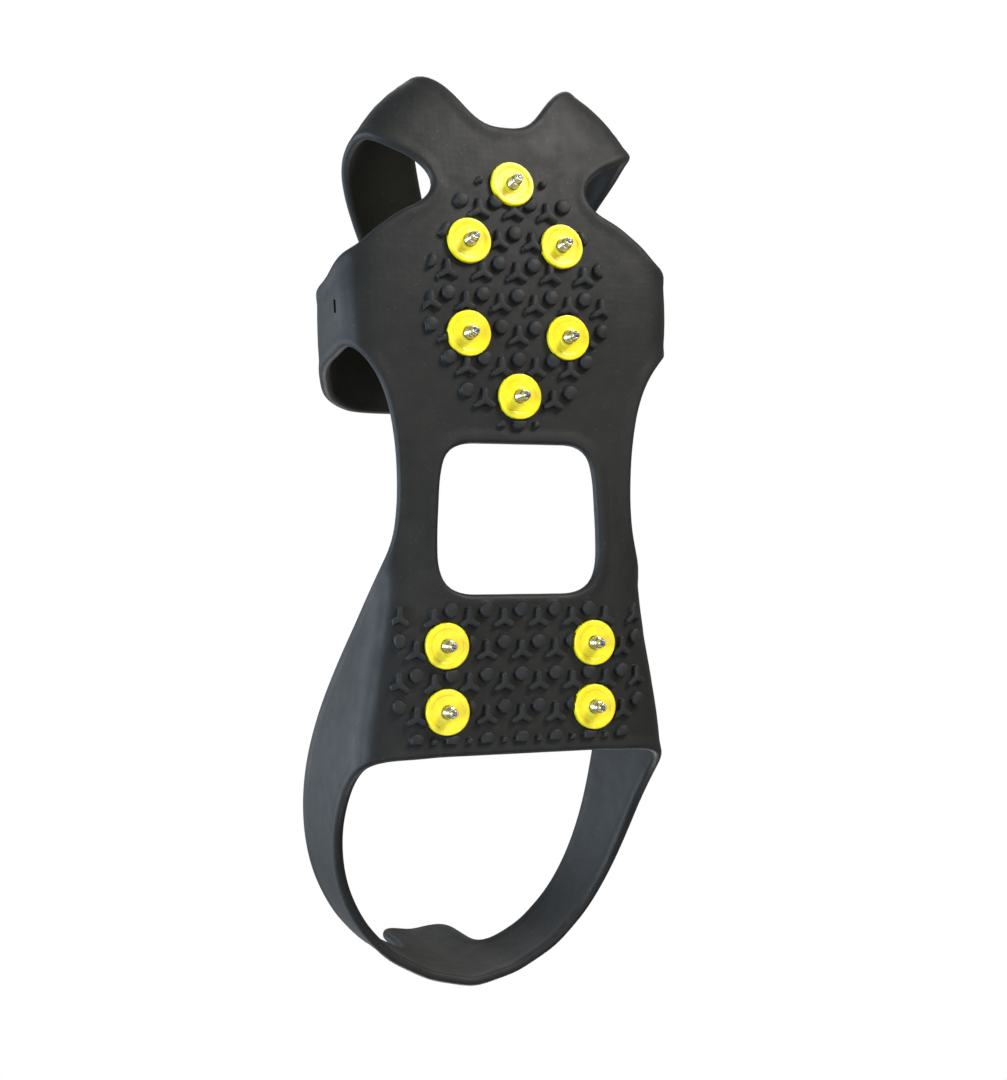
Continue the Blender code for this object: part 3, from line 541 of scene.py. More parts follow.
def dimple_nests():
    """Chart nests of the small pits in the inner face, round the studs."""
    out = []
    for patch, low, high in DIMPLE_PATCHES:
        for row in range(int((high - low) / DIMPLE_ROW_PITCH) + 1):
            s = low + DIMPLE_ROW_PITCH * row
            shift = DIMPLE_PITCH / 2 if patch == "rear" and row % 2 == 0 else 0.0
            for i in range(8):
                x = i * DIMPLE_PITCH + shift
                if has_dimple(x, s, patch):
                    out.append([
                        (web_chart(keep_right(bar(x, s, *DIMPLE_HALF_SIZE, grow))), height)
                        for grow, height in DIMPLE_STEPS
                    ])
    return out


# --------------------------------------------- lines that the net is built on
EDGE_STEP = 1.7
SEAM_STEP = 2.6
OUTER_STEP, INNER_STEP, FINEST_STEP = 3.2, 3.6, 1.25  # spacing of the free points
RING_R = RIM / 2
# distances of the lines that run beside a free edge, over its roll and beyond
RINGS = [RING_R * (1 - math.cos(math.radians(t))) for t in (20, 40, 58, 75, 90)]
RINGS += [RING_R + 1.1, RING_R + 2.2, RING_R + RIM_FADE]
WAIST_S, TAB_ROOT_Z = 143.0, 75.3  # where the splits leave the free edge
CHART_SCALE = 1.7  # stretch of the chart along s while it is triangulated


def on_seam(flat):
    return (flat**2).sum(-1) > 1 - 1e-9


def snap(flat):
    """Chart points that lie on the middle plane, put exactly on it."""
    flat = np.array(flat, float)
    hit = (flat**2).sum(1) > 1 - 1e-7
    flat[hit] /= np.linalg.norm(flat[hit], axis=1)[:, None]
    return flat


def key_of(spot):
    return round(float(spot[0]), 10), round(float(spot[1]), 10)


def free_edge(points, sigma, closed=False):
    return snap(chart(smooth_line(points, EDGE_STEP, sigma, closed)))


def stud_loops():
    angles = [2 * math.pi * (i + 0.5) / STUD_HOLE_SIDES for i in range(STUD_HOLE_SIDES)]
    return [
        snap(web_chart(keep_right(circle_points(x, s, STUD_HOLE, angles))))
        for x, s in STUDS if x >= -1e-9
    ]


def distance_to(points, lines):
    """Distance of points in space to polylines, each (points, closed)."""
    best = np.full(len(points), 1e9)
    for line, closed in lines:
        start = line if closed else line[:-1]
        end = np.roll(line, -1, axis=0) if closed else line[1:]
        span = end - start
        square = (span**2).sum(1)
        for low in range(0, len(points), 4000):  # in batches, to spare memory
            off = points[low:low + 4000][:, None] - start[None]
            part = np.clip((off * span[None]).sum(2) / square[None], 0, 1)
            gap = np.linalg.norm(off - part[..., None] * span[None], axis=2).min(axis=1)
            best[low:low + 4000] = np.minimum(best[low:low + 4000], gap)
    return best


# the free edges of the right half, as chart lines, in loop order
OUTER_EDGES = [
    free_edge(FRONT_EDGE, 2.6), free_edge(REAR_OF_TOE, 2.2),
    free_edge(HEEL_LOWER, 2.6), free_edge(WINDOW, 1.4),
]
OPENING = free_edge(SIDE_OPENING, 2.2, closed=True)
EDGES = OUTER_EDGES + [OPENING]
EDGE_LINES = [(place(edge), edge is OPENING) for edge in EDGES]
OUTER = np.vstack(OUTER_EDGES)  # the seam's parts are the chords between them
RIM_KEYS = {key_of(spot) for edge in EDGES for spot in edge}


def edge_rings():
    """Lines that run beside each free edge: [(chart points, kept mask, closed)]."""
    out = []
    for flat, (points, closed) in zip(EDGES, EDGE_LINES):
        if closed:
            before, after = np.roll(points, 1, axis=0), np.roll(points, -1, axis=0)
        else:
            before = np.vstack([points[1] * MIRROR, points[:-1]])
            after = np.vstack([points[1:], points[-2] * MIRROR])
        tangent = after - before
        tangent /= np.linalg.norm(tangent, axis=1)[:, None]
        ways = normals(flat)
        if not closed:
            ways[0, 0] = ways[-1, 0] = 0
        inward = np.cross(ways, tangent)
        inward /= np.linalg.norm(inward, axis=1)[:, None]

        def moved(distance):
            line = level(points + inward * distance)
            if not closed:
                line[0, 0] = line[-1, 0] = 0
            return snap(chart(line))

        test = moved(0.6)[3:-3]
        if (inside(test, OUTER) & ~inside(test, OPENING)).mean() < 0.5:
            inward *= -1
        for distance in RINGS:
            ring = moved(distance)
            keep = distance_to(place(ring), EDGE_LINES) > 0.93 * distance
            keep &= (ring**2).sum(1) <= 1 + 1e-9
            out.append((ring, keep, closed))
    return out


def split_lines():
    """Chart lines that the net is split along: across the waist, and across the
    root of the pull tab."""
    window, outer = OUTER_EDGES[3], OUTER_EDGES[1]
    window_points, outer_points = place(window), place(outer)
    i = int(np.argmin(np.abs(window_points[:, 1] - WAIST_S)))
    j = int(np.argmin(np.abs(outer_points[:, 1] - WAIST_S) + 100 * (outer_points[:, 2] > 30)))
    start, end = window_points[i], outer_points[j]
    part = np.linspace(0, 1, 12)[1:-1, None]
    waist = np.vstack([window[i], chart(start + (end - start) * part), outer[j]])
    off_root = np.abs(outer_points[:, 2] - TAB_ROOT_Z) + 100 * (outer_points[:, 1] < 283)
    k = int(np.argmin(off_root))
    start, end = outer_points[k], np.array([0.0, 287.5, 74.6])
    part = np.linspace(0, 1, 14)[1:, None]
    line = start + (end - start) * part
    line[:, 2] = start[2] + (end[2] - start[2]) * np.sin(part[:, 0] * math.pi / 2)
    return [waist, snap(np.vstack([outer[k], chart(line)]))]


RING_LINES = edge_rings()
SPLITS = split_lines()
WAIST_POINTS, ROOT_POINTS = (place(line) for line in SPLITS)


def ahead_of_waist(points):
    line = np.interp(np.abs(points[:, 0]), WAIST_POINTS[:, 0], WAIST_POINTS[:, 1])
    return points[:, 1] < line


def above_root(points):
    """Whether points lie above the tab's root line."""
    x = np.abs(points[:, 0])
    order = np.argsort(ROOT_POINTS[:, 0])
    line = np.interp(x, ROOT_POINTS[order, 0], ROOT_POINTS[order, 2])
    return (x < ROOT_POINTS[:, 0].max()) & (points[:, 2] > line) & (points[:, 1] > 270)


# ------------------------------------------------- triangles of the two faces
def spread(loops, keep_off, coarse):
    """Chart points inside the first loop and outside the others. They are closer
    together where the sheet curves."""
    low, high = loops[0].min(axis=0), loops[0].max(axis=0)
    grid = np.meshgrid(*(np.linspace(low[i], high[i], 560) for i in range(2)), indexing="ij")
    flat = np.stack([axis.ravel() for axis in grid], 1)
    flat = flat[(flat**2).sum(1) < 0.9999]
    wanted = inside(flat, loops[0])
    for hole in loops[1:]:
        wanted &= ~inside(flat, hole)
    flat = flat[wanted]
    points, ways = place(flat), normals(flat)
    step = 4e-3
    bend = np.zeros(len(flat))
    for shift in ((step, 0), (0, step), (step, step), (step, -step)):
        moved = flat + shift
        gap = np.linalg.norm(place(moved) - points, axis=1)
        turn = np.linalg.norm(normals(moved) - ways, axis=1)
        bend = np.maximum(bend, turn / np.maximum(gap, 1e-6))
    spacing = np.clip(0.30 / np.maximum(bend, 1e-6), FINEST_STEP, coarse)
    lines = KDTree(len(keep_off))
    for i, point in enumerate(keep_off):
        lines.insert(Vector(point), i)
    lines.balance()
    taken, out = {}, []  # taken: the chosen points in each cell of a coarse grid
    for i, (point, want) in enumerate(zip(points, spacing)):
        if point[0] < 0.45 * want:
            continue
        cell = tuple(int(v // coarse) for v in point)
        clear = all(
            (x - point[0]) ** 2 + (y - point[1]) ** 2 + (z - point[2]) ** 2 >= want * want
            for shift in product((-1, 0, 1), repeat=3)
            for x, y, z in taken.get(tuple(c + d for c, d in zip(cell, shift)), ())
        )
        if clear and lines.find(Vector(point))[2] > 0.62 * want:
            taken.setdefault(cell, []).append(tuple(point))
            out.append(i)
    return flat[out]


def seam_points(start, end, touch, spans):
    """Chart points along the middle plane between two of its points, ends left
    out: every touching corner, and more where the gap is wide and plain."""
    first = math.atan2(start[1], start[0])
    full = (math.atan2(end[1], end[0]) - first + math.pi) % (2 * math.pi) - math.pi
    sign = 1 if full > 0 else -1
    full = abs(full)

    def along(flat):
        turn = sign * (np.arctan2(flat[..., 1], flat[..., 0]) - first)
        return (turn + math.pi) % (2 * math.pi) - math.pi

    def at_turn(turn):
        return math.cos(first + sign * turn), math.sin(first + sign * turn)

    marks = {
        round(float(turn), 11): tuple(spot)
        for turn, spot in zip(along(touch), touch) if 1e-7 < turn < full - 1e-7
    }
    blocked = [sorted((float(along(one)), float(along(two)))) for one, two in spans]
    out = []
    stops = [0.0] + sorted(marks) + [full]
    for low, high in zip(stops[:-1], stops[1:]):
        mid = (low + high) / 2
        ends = [place(np.array(at_turn(turn))) for turn in (low, high)]
        parts = max(1, int(round(np.linalg.norm(ends[0] - ends[1]) / SEAM_STEP)))
        if any(a < mid < b for a, b in blocked):
            parts = 1
        for k in range(1, parts):
            out.append(at_turn(low + (high - low) * k / parts))
        if high < full:
            out.append(marks[high])
    return np.array(out).reshape(-1, 2)


class Drawing:
    """Chart points, their heights and the edges that triangles must keep to."""

    def __init__(self):
        self.points, self.heights, self.edges, self.index = [], [], [], {}

    def vertex(self, spot, height=0.0):
        key = key_of(spot)
        if key not in self.index:
            self.index[key] = len(self.points)
            self.points.append(key)
            self.heights.append(height)
        return self.index[key]

    def chain(self, line, closed=True, skip_seam=False, height=0.0, keep=None):
        ids = [
            self.vertex(spot, height) if keep is None or keep[i] else None
            for i, spot in enumerate(line)
        ]
        seam = on_seam(line)
        pairs = list(zip(range(len(ids)), range(1, len(ids))))
        if closed:
            pairs.append((len(ids) - 1, 0))
        for i, j in pairs:
            if ids[i] is None or ids[j] is None or ids[i] == ids[j]:
                continue
            if not (skip_seam and seam[i] and seam[j]):
                self.edges.append((ids[i], ids[j]))

    def triangulate(self):
        """Chart points, triangles and the height of each point."""
        scaled = [Vector((CHART_SCALE * a, b)) for a, b in self.points]
        verts, _, faces, origin, _, _ = delaunay_2d_cdt(scaled, self.edges, [], 0, 1e-9)
        flat = np.array([(v.x / CHART_SCALE, v.y) for v in verts])
        tall = np.zeros(len(flat))
        for i, source in enumerate(origin):
            if source:
                flat[i] = self.points[source[0]]
                tall[i] = self.heights[source[0]]
        return flat, np.array(faces, int), tall


def rings_clear_of(borders):
    """The ring lines, left out where they would run over a nest."""
    guards = []
    for loop in borders:
        mid, points = loop.mean(axis=0), place(loop)
        radius = np.linalg.norm(points - points.mean(axis=0), axis=1).max()
        guards.append(mid + (loop - mid) * (1 + 0.9 / radius))
    out = []
    for ring, keep, closed in RING_LINES:
        keep = keep.copy()
        for loop in guards:
            keep &= ~inside(ring, loop)
        out.append((ring, keep, closed))
    return out


def outer_loop(lines, loops):
    """The outline of the right half: free edges joined by points on the seam,
    with every point where a line or loop touches it."""
    touch = np.vstack([line[on_seam(line)] for line in lines])
    spans = []
    for loop in loops:
        hit = loop[on_seam(loop)]
        if len(hit) >= 2:
            spans.append((hit[hit[:, 0].argmin()], hit[hit[:, 0].argmax()]))
    out = []
    for edge, following in zip(OUTER_EDGES, OUTER_EDGES[1:] + OUTER_EDGES[:1]):
        out += [edge, seam_points(edge[-1], following[0], touch, spans)]
    return np.vstack(out)


def skin(nests, coarse):
    """One face of the sheet on the right half: chart points, triangles, the
    height that each point has over the sheet, and whether it is on the seam."""
    nests = [[(snap(loop), height) for loop, height in nest] for nest in nests]
    borders = [nest[0][0] for nest in nests]
    holes = stud_loops() + [chart(np.array(SLOT))]
    loops = holes + borders
    rings = rings_clear_of(borders)
    kept_rings = [ring[keep] for ring, keep, _ in rings]
    nest_loops = [loop for nest in nests for loop, _ in nest]
    outer = outer_loop(holes + nest_loops + kept_rings + SPLITS, loops)
    bounds = [outer, OPENING] + loops
    keep_off = np.vstack([place(line) for line in bounds + kept_rings + SPLITS])
    extra = spread(bounds, keep_off, coarse)

    drawing = Drawing()
    for nest in nests:
        for loop, height in nest:
            drawing.chain(loop, skip_seam=True, height=height)
    for loop in [outer, OPENING] + holes:
        drawing.chain(loop)
    for ring, keep, closed in rings:
        drawing.chain(ring, closed, skip_seam=True, keep=keep)
    for line in SPLITS:
        drawing.chain(line, closed=False)
    for spot in extra:
        drawing.vertex(spot)
    flat, triangles, tall = drawing.triangulate()

    mid = flat[triangles].mean(axis=1)
    wanted = inside(mid, outer)
    for loop in [OPENING] + holes:
        wanted &= ~inside(mid, loop)
    seam = np.abs((flat**2).sum(1) - 1) < 1e-7
    wanted &= ~seam[triangles].all(axis=1)
    return flat, triangles[wanted], tall, seam


# ----------------------------------------------------------- the rubber net
def world(points):
    return np.stack([points[:, 0] * MM, (points[:, 1] - S_ORIGIN) * MM, points[:, 2] * MM], 1)


def rim_profile(distance):
    """Outer and inner offsets of the sheet at a distance from its free edge."""
    ease = np.clip((distance - RING_R) / RIM_FADE, 0, 1)
    fade = 1 - ease * ease * (3 - 2 * ease)
    outer = RIM_OUT * fade
    inner = -SHEET + (RIM_OUT + SHEET - RIM) * fade
    half = np.sqrt(np.clip(1 - (1 - np.clip(distance / RING_R, 0, 1)) ** 2, 0, 1))
    mid, reach = (outer + inner) / 2, (outer - inner) / 2
    return mid + reach * half, mid - reach * half


def facing_out(points, ways, triangles):
    start, second, third = (points[triangles[:, i]] for i in range(3))
    face_way = np.cross(second - start, third - start)
    wrong = (face_way * ways[triangles].sum(axis=1)).sum(1) < 0
    triangles[wrong] = triangles[wrong][:, ::-1]
    return triangles


def hole_edges(triangles, keys, seam, rim):
    """Open edges round holes and slots, by the keys of their two ends."""
    edges = {}
    for triangle in triangles:
        for i, j in zip(triangle, np.roll(triangle, -1)):
            edges[(int(i), int(j))] = True
    return {
        (keys[i], keys[j]): (i, j) for i, j in edges
        if (j, i) not in edges and not (seam[i] and seam[j]) and not (rim[i] and rim[j])
    }


class Net:
    """All vertices (design frame) and triangles of the net."""

    def __init__(self):
        self.vertices, self.ways = [], []
        self.wear_and_sheen = []  # how worn each vertex is, which also sets the painted lighter sheen on it
        self.plain = []  # whether a vertex is on bare sheet, away from edges and lugs
        self.triangles = []
        self.pieces = []  # 0 forefoot, 1 heel, 2 pull tab
        self.rim_pairs = {}  # rim vertices, shared by both faces

    def add_pair(self, point, way, wear_and_sheen, plain, seam):
        """A vertex and its mirror image, which are one on the seam."""
        ids = []
        for flip in (1,) if seam else (1, MIRROR):
            ids.append(len(self.vertices))
            self.vertices.append(point * flip)
            self.ways.append(way * flip)
            self.wear_and_sheen.append(wear_and_sheen)
            self.plain.append(plain)
        return ids[0], ids[-1]

    def add_triangles(self, triangles, piece):
        self.triangles += [np.array(triangle) for triangle in triangles]
        self.pieces += [piece] * len(triangles)

    def add_face(self, face, outside):
        """One face of the sheet. Returns its hole edges, the right and left ids
        of its points, and the points on the envelope."""
        flat, triangles, tall, seam = face
        points, ways = place(flat), normals(flat)
        points[seam, 0] = 0
        ways[seam, 0] = 0
        ways /= np.linalg.norm(ways, axis=1)[:, None]
        triangles = facing_out(points, ways, triangles)
        distance = distance_to(points, EDGE_LINES)
        offset = rim_profile(distance)[0 if outside else 1] + tall
        moved = points + ways * offset[:, None]
        moved[seam, 0] = 0
        # lug shoulders are worn most, lug tops less, the roll of the edge least; the same share
        # paints a lighter sheen on them
        shoulder = np.abs(tall - LUG_SHOULDER) < 0.02
        wear_and_sheen = np.where(shoulder, 1.0, np.where(tall > 1.3, 0.45, 0.0))
        wear_and_sheen = np.maximum(wear_and_sheen, 0.35 * np.exp(-((distance - 0.9) / 0.9) ** 2))
        plain = (tall == 0) & (distance > RINGS[-1] - 0.1)
        keys = [key_of(spot) for spot in flat]
        rim = [key in RIM_KEYS and gap < 1e-4 for key, gap in zip(keys, distance)]
        pairs = []
        for i, key in enumerate(keys):
            pair = self.rim_pairs.get(key) if rim[i] else None
            if pair is None:
                pair = self.add_pair(moved[i], ways[i], wear_and_sheen[i], plain[i], seam[i])
                if rim[i]:
                    self.rim_pairs[key] = pair
            pairs.append(pair)
        right, left = np.array(pairs).T
        mid = points[triangles].mean(axis=1)
        pieces = np.where(ahead_of_waist(mid), 0, 1)
        pieces[above_root(level(mid))] = 2
        turned_out = triangles if outside else triangles[:, ::-1]
        for triangle, piece in zip(turned_out, pieces):
            self.add_triangles([right[triangle], left[triangle[::-1]]], piece)
        return hole_edges(triangles, keys, seam, rim), right, left, points

    def add_walls(self, outer, inner):
        """The walls of the stud holes and slots, between the two faces."""
        outer_edges, out_right, out_left, points = outer
        inner_edges, in_right, in_left, _ = inner
        for key, (i, j) in outer_edges.items():
            if key not in inner_edges:  # the inner face is divided otherwise here
                continue
            k, l = inner_edges[key]
            self.add_triangles([
                (out_right[j], out_right[i], in_right[k]),
                (out_right[j], in_right[k], in_right[l]),
                (in_left[k], out_left[i], out_left[j]),
                (in_left[l], in_left[k], out_left[j]),
            ], 0 if ahead_of_waist(points[i:i + 1])[0] else 1)

    def to_arrays(self):
        for name in ("vertices", "ways", "wear_and_sheen", "plain", "triangles", "pieces"):
            setattr(self, name, np.array(getattr(self, name)))


def build_net():
    faces = skin(outer_nests(), OUTER_STEP), skin(dimple_nests(), INNER_STEP)
    net = Net()
    net.add_walls(net.add_face(faces[0], outside=True), net.add_face(faces[1], outside=False))
    net.to_arrays()
    return net


def whole_normals(net):
    """The shading normal of each triangle's corners, from the net as one mesh, so
    that nothing shows where it is split. The plain sheet takes the envelope's."""
    triangles = net.triangles
    mesh = bpy.data.meshes.new("whole_net")
    mesh.from_pydata(world(net.vertices).tolist(), [], triangles.tolist())
    mesh.update()
    mesh.shade_smooth()
    mesh.set_sharp_from_angle(angle=math.radians(40))
    out = np.empty(len(triangles) * 9, np.float32)
    mesh.corner_normals.foreach_get("vector", out)
    bpy.data.meshes.remove(mesh)
    out = out.reshape(-1, 3, 3)
    start, second, third = (net.vertices[triangles[:, i]] for i in range(3))
    face_way = np.cross(second - start, third - start)
    face_way /= np.linalg.norm(face_way, axis=1)[:, None]
    match = (face_way * net.ways[triangles].mean(axis=1)).sum(1)
    plain = net.plain[triangles].all(axis=1) & (np.abs(match) > 0.95)
    out[plain] = net.ways[triangles[plain]] * np.sign(match[plain])[:, None, None]
    return out


def net_piece(name, net, chosen, corner_ways):
    """One piece of the net as a closed object, its cut ends filled."""
    used, inverse = np.unique(net.triangles[chosen], return_inverse=True)
    local = inverse.reshape(-1, 3).tolist()
    points = world(net.vertices[used])
    mesh = bpy.data.meshes.new(name)
    mesh.from_pydata(points.tolist(), [], local)
    mesh.update()
    bm = bmesh.new()
    bm.from_mesh(mesh)
    ends = [edge for edge in bm.edges if len(edge.link_faces) == 1]
    made = bmesh.ops.holes_fill(bm, edges=ends, sides=0)["faces"]
    bmesh.ops.triangulate(bm, faces=made)
    for edge in ends:
        edge.smooth = False
    bm.to_mesh(mesh)
    bm.free()
    mesh.shade_smooth()
    # the filled ends are not in this table and stay flat
    shown = {tuple(sorted(t)): dict(zip(t, ways)) for t, ways in zip(local, corner_ways[chosen])}
    loops = []
    for face in mesh.polygons:
        corners = shown.get(tuple(sorted(face.vertices)))
        for vertex in face.vertices:
            way = corners[vertex] if corners else face.normal
            loops.append(tuple(float(v) for v in way))
    mesh.normals_split_custom_set(loops)
    for label, kind, field, values in (
        ("rest_mm", "FLOAT_VECTOR", "vector", points * 1000),
        ("rest_way", "FLOAT_VECTOR", "vector", net.ways[used]),
        ("wear_and_sheen", "FLOAT", "value", net.wear_and_sheen[used]),
    ):
        attribute = mesh.attributes.new(label, kind, "POINT")
        attribute.data.foreach_set(field, values.astype(np.float32).ravel())
    return add_object(name, mesh)


def add_object(name, data):
    obj = bpy.data.objects.new(name, data)
    bpy.context.scene.collection.objects.link(obj)
    return obj


# ----------------------------------------------------------------- materials
class Nodes:
    """A small helper to write node trees as expressions."""

    def __init__(self, name):
        self.material = bpy.data.materials.new(name)
        self.material.use_nodes = True
        self.tree = self.material.node_tree
        self.shader = self.tree.nodes["Principled BSDF"]

    def link(self, value, socket):
        if isinstance(value, bpy.types.NodeSocket):
            self.tree.links.new(value, socket)
        elif value is not None:
            socket.default_value = value

    def set(self, **values):
        for name, value in values.items():
            self.link(value, self.shader.inputs[name.replace("_", " ")])

    def node(self, kind, **settings):
        node = self.tree.nodes.new(kind)
        for key, value in settings.items():
            setattr(node, key, value)
        return node

    def math(self, operation, *values):
        node = self.node("ShaderNodeMath", operation=operation)
        for value, socket in zip(values, node.inputs):
            self.link(value, socket)
        return node.outputs[0]

    def add(self, one, two):
        return self.math("ADD", one, two)

    def times(self, one, two):
        return self.math("MULTIPLY", one, two)

    def split(self, vector):
        node = self.node("ShaderNodeSeparateXYZ")
        self.link(vector, node.inputs[0])
        return node.outputs

    def radius(self, x, y):
        return self.math("SQRT", self.add(self.times(x, x), self.times(y, y)))

    def attribute(self, name, output="Vector"):
        return self.node("ShaderNodeAttribute", attribute_name=name).outputs[output]

    def object_mm(self):
        metres = self.node("ShaderNodeTexCoord").outputs["Object"]
        node = self.node("ShaderNodeVectorMath", operation="SCALE")
        self.link(metres, node.inputs[0])
        node.inputs["Scale"].default_value = 1000.0
        return node.outputs["Vector"]

    def noise(self, vector, scale, detail=3.0, roughness=0.5):
        node = self.node("ShaderNodeTexNoise")
        self.link(vector, node.inputs["Vector"])
        node.inputs["Scale"].default_value = scale
        node.inputs["Detail"].default_value = detail
        node.inputs["Roughness"].default_value = roughness
        return node.outputs["Fac"]

    def ramp(self, value, span, to=(0.0, 1.0)):
        """The value mapped from one range to another, and clamped."""
        node = self.node("ShaderNodeMapRange")
        for number, socket in zip((value, *span, *to), node.inputs):
            self.link(number, socket)
        return node.outputs[0]

    def mix(self, share, low, high):
        node = self.node("ShaderNodeMix", data_type="RGBA")
        for value, i in ((share, 0), (low, 6), (high, 7)):
            self.link(value, node.inputs[i])
        return node.outputs[2]

    def bump(self, height, distance, normal=None):
        """Height is in millimetres, times distance."""
        node = self.node("ShaderNodeBump")
        node.inputs["Strength"].default_value = 1.0
        node.inputs["Distance"].default_value = distance * MM
        self.link(height, node.inputs["Height"])
        self.link(normal, node.inputs["Normal"])
        return node.outputs["Normal"]


def rubber():
    """Moulded black rubber: a matt skin with a fine lattice, slightly
    uneven in tone, bloomed and dusty, its raised edges worn and given a painted lighter sheen."""
    lattice_pitch = 2.1
    mat = Nodes("rubber_moulded")
    rest, way = mat.attribute("rest_mm"), mat.attribute("rest_way")
    # how much the surface faces each axis
    facing = [mat.math("POWER", mat.math("ABSOLUTE", v), 3.0) for v in mat.split(way)]
    total = mat.add(mat.add(facing[0], facing[1]), facing[2])
    face_x, face_y, face_z = [mat.math("DIVIDE", v, total) for v in facing]
    waves = [
        mat.math("COSINE", mat.times(v, 2 * math.pi / lattice_pitch)) for v in mat.split(rest)
    ]
    lattice = mat.times(waves[0], mat.add(face_y, face_z))
    lattice = mat.add(lattice, mat.times(waves[1], mat.add(face_x, face_z)))
    lattice = mat.add(lattice, mat.times(waves[2], mat.add(face_x, face_y)))
    broad = mat.noise(rest, scale=0.028, detail=3.0, roughness=0.55)
    cloud = mat.noise(rest, scale=0.16, detail=4.0, roughness=0.6)
    grain = mat.noise(rest, scale=2.6, detail=3.0, roughness=0.6)
    # tone: the two slow noises, weighed
    tone = mat.add(mat.times(broad, 0.55), mat.times(cloud, 0.45))
    colour = mat.mix(
        mat.ramp(tone, span=(0.36, 0.64)),
        low=(0.0090, 0.0094, 0.0098, 1), high=(0.0158, 0.0155, 0.0145, 1),
    )
    # dust in the hollows of the lattice and as scattered specks
    speck = mat.ramp(mat.noise(rest, scale=1.15, detail=0.0), span=(0.79, 0.84))
    hollow = mat.ramp(lattice, span=(-1.2, -1.9), to=(0.0, 0.08))
    dust = mat.times(hollow, mat.ramp(cloud, span=(0.42, 0.66)))
    speck_strength = 0.35
    dust = mat.math("MAXIMUM", dust, mat.times(speck, speck_strength))
    colour = mat.mix(dust, low=colour, high=(0.075, 0.072, 0.066, 1))
    # wear and painted sheen: raised edges turned a lighter cool grey, partly wear and partly a
    # painted highlight
    wear_and_sheen = mat.attribute("wear_and_sheen", "Fac")
    wear_sheen_share = mat.times(wear_and_sheen, mat.ramp(cloud, span=(0.3, 0.7), to=(0.30, 0.75)))
    colour = mat.mix(wear_sheen_share, low=colour, high=(0.034, 0.036, 0.038, 1))
    rough = mat.ramp(cloud, span=(0.3, 0.7), to=(0.55, 0.45))
    grain_rough, lattice_height, grain_height = 0.08, 0.30, 0.8
    rough = mat.add(rough, mat.times(grain, grain_rough))
    height = mat.add(mat.times(lattice, lattice_height), mat.times(grain, grain_height))
    normal = mat.bump(height, distance=0.010)
    normal = mat.bump(cloud, distance=0.16, normal=normal)
    mat.set(
        Base_Color=colour, Roughness=rough, Normal=normal,
        Specular_IOR_Level=0.25, Sheen_Weight=0.04, Sheen_Roughness=0.5,
    )
    return mat.material


def yellow_plastic():
    """Satin injection-moulded plastic with faint concentric flow marks."""
    flow_pitch, grain_height = 0.55, 0.8
    mat = Nodes("plug_plastic")
    spot = mat.object_mm()
    x, y, z = mat.split(spot)
    radius = mat.radius(x, y)
    cloud = mat.noise(spot, scale=0.35, detail=3.0)
    grain = mat.noise(spot, scale=5.0, detail=2.0)
    colour = mat.mix(
        mat.ramp(cloud, span=(0.35, 0.65)),
        low=(0.93, 0.76, 0.004, 1), high=(0.98, 0.86, 0.012, 1),
    )
    # painted shade: brown darkening in the recess round the pin, on the outer side
    near_pin = mat.ramp(radius, span=(2.7, 2.1), to=(0.0, 0.35))
    pin_recess_shade = mat.times(near_pin, mat.ramp(z, span=(0.5, -0.5)))
    colour = mat.mix(pin_recess_shade, low=colour, high=(0.50, 0.36, 0.01, 1))
    scratches = mat.noise(spot, scale=1.3, detail=5.0, roughness=0.7)
    scuff = mat.ramp(scratches, span=(0.60, 0.72), to=(0.0, 0.22))
    colour = mat.mix(scuff, low=colour, high=(0.80, 0.66, 0.06, 1))
    rings = mat.math("SINE", mat.times(radius, 2 * math.pi / flow_pitch))
    fade = mat.ramp(radius, span=(3.2, 6.0), to=(1.0, 0.15))
    height = mat.add(mat.times(rings, fade), mat.times(grain, grain_height))
    mat.set(
        Base_Color=colour,
        Roughness=mat.ramp(grain, span=(0.3, 0.7), to=(0.26, 0.40)),
        Normal=mat.bump(height, distance=0.012),
        Specular_IOR_Level=0.5, Coat_Weight=0.15, Coat_Roughness=0.2,
    )
    return mat.material


def turned_steel():
    """Turned pin: fine tool rings, and a fine grain."""
    tool_pitch, tool_height = 0.22, 0.5
    mat = Nodes("pin_turned_steel")
    spot = mat.object_mm()
    x, y, z = mat.split(spot)
    radius = mat.radius(x, y)
    grain = mat.noise(spot, scale=6.0, detail=4.0, roughness=0.65)
    cloud = mat.noise(spot, scale=0.8, detail=3.0)
    colour = mat.mix(
        mat.ramp(cloud, span=(0.3, 0.7)),
        low=(0.60, 0.585, 0.55, 1), high=(0.80, 0.79, 0.77, 1),
    )
    tool = mat.math("SINE", mat.times(mat.add(z, radius), 2 * math.pi / tool_pitch))
    height = mat.add(mat.times(tool, tool_height), grain)
    mat.set(
        Base_Color=colour,
        Roughness=mat.ramp(grain, span=(0.3, 0.7), to=(0.16, 0.34)),
        Normal=mat.bump(height, distance=0.010),
        Metallic=1.0,
    )
    return mat.material


def hard_metal():
    """Sintered hard-metal tip: dark and grainy, with paler clouds."""
    mat = Nodes("tip_hard_metal")
    spot = mat.object_mm()
    grain = mat.noise(spot, scale=9.0, detail=4.0, roughness=0.7)
    cloud = mat.noise(spot, scale=1.6, detail=2.0)
    colour = mat.mix(
        mat.ramp(cloud, span=(0.35, 0.65)),
        low=(0.13, 0.13, 0.14, 1), high=(0.34, 0.34, 0.35, 1),
    )
    mat.set(
        Base_Color=colour,
        Roughness=mat.ramp(grain, span=(0.3, 0.7), to=(0.22, 0.48)),
        Normal=mat.bump(grain, distance=0.02),
        Metallic=1.0,
    )
    return mat.material


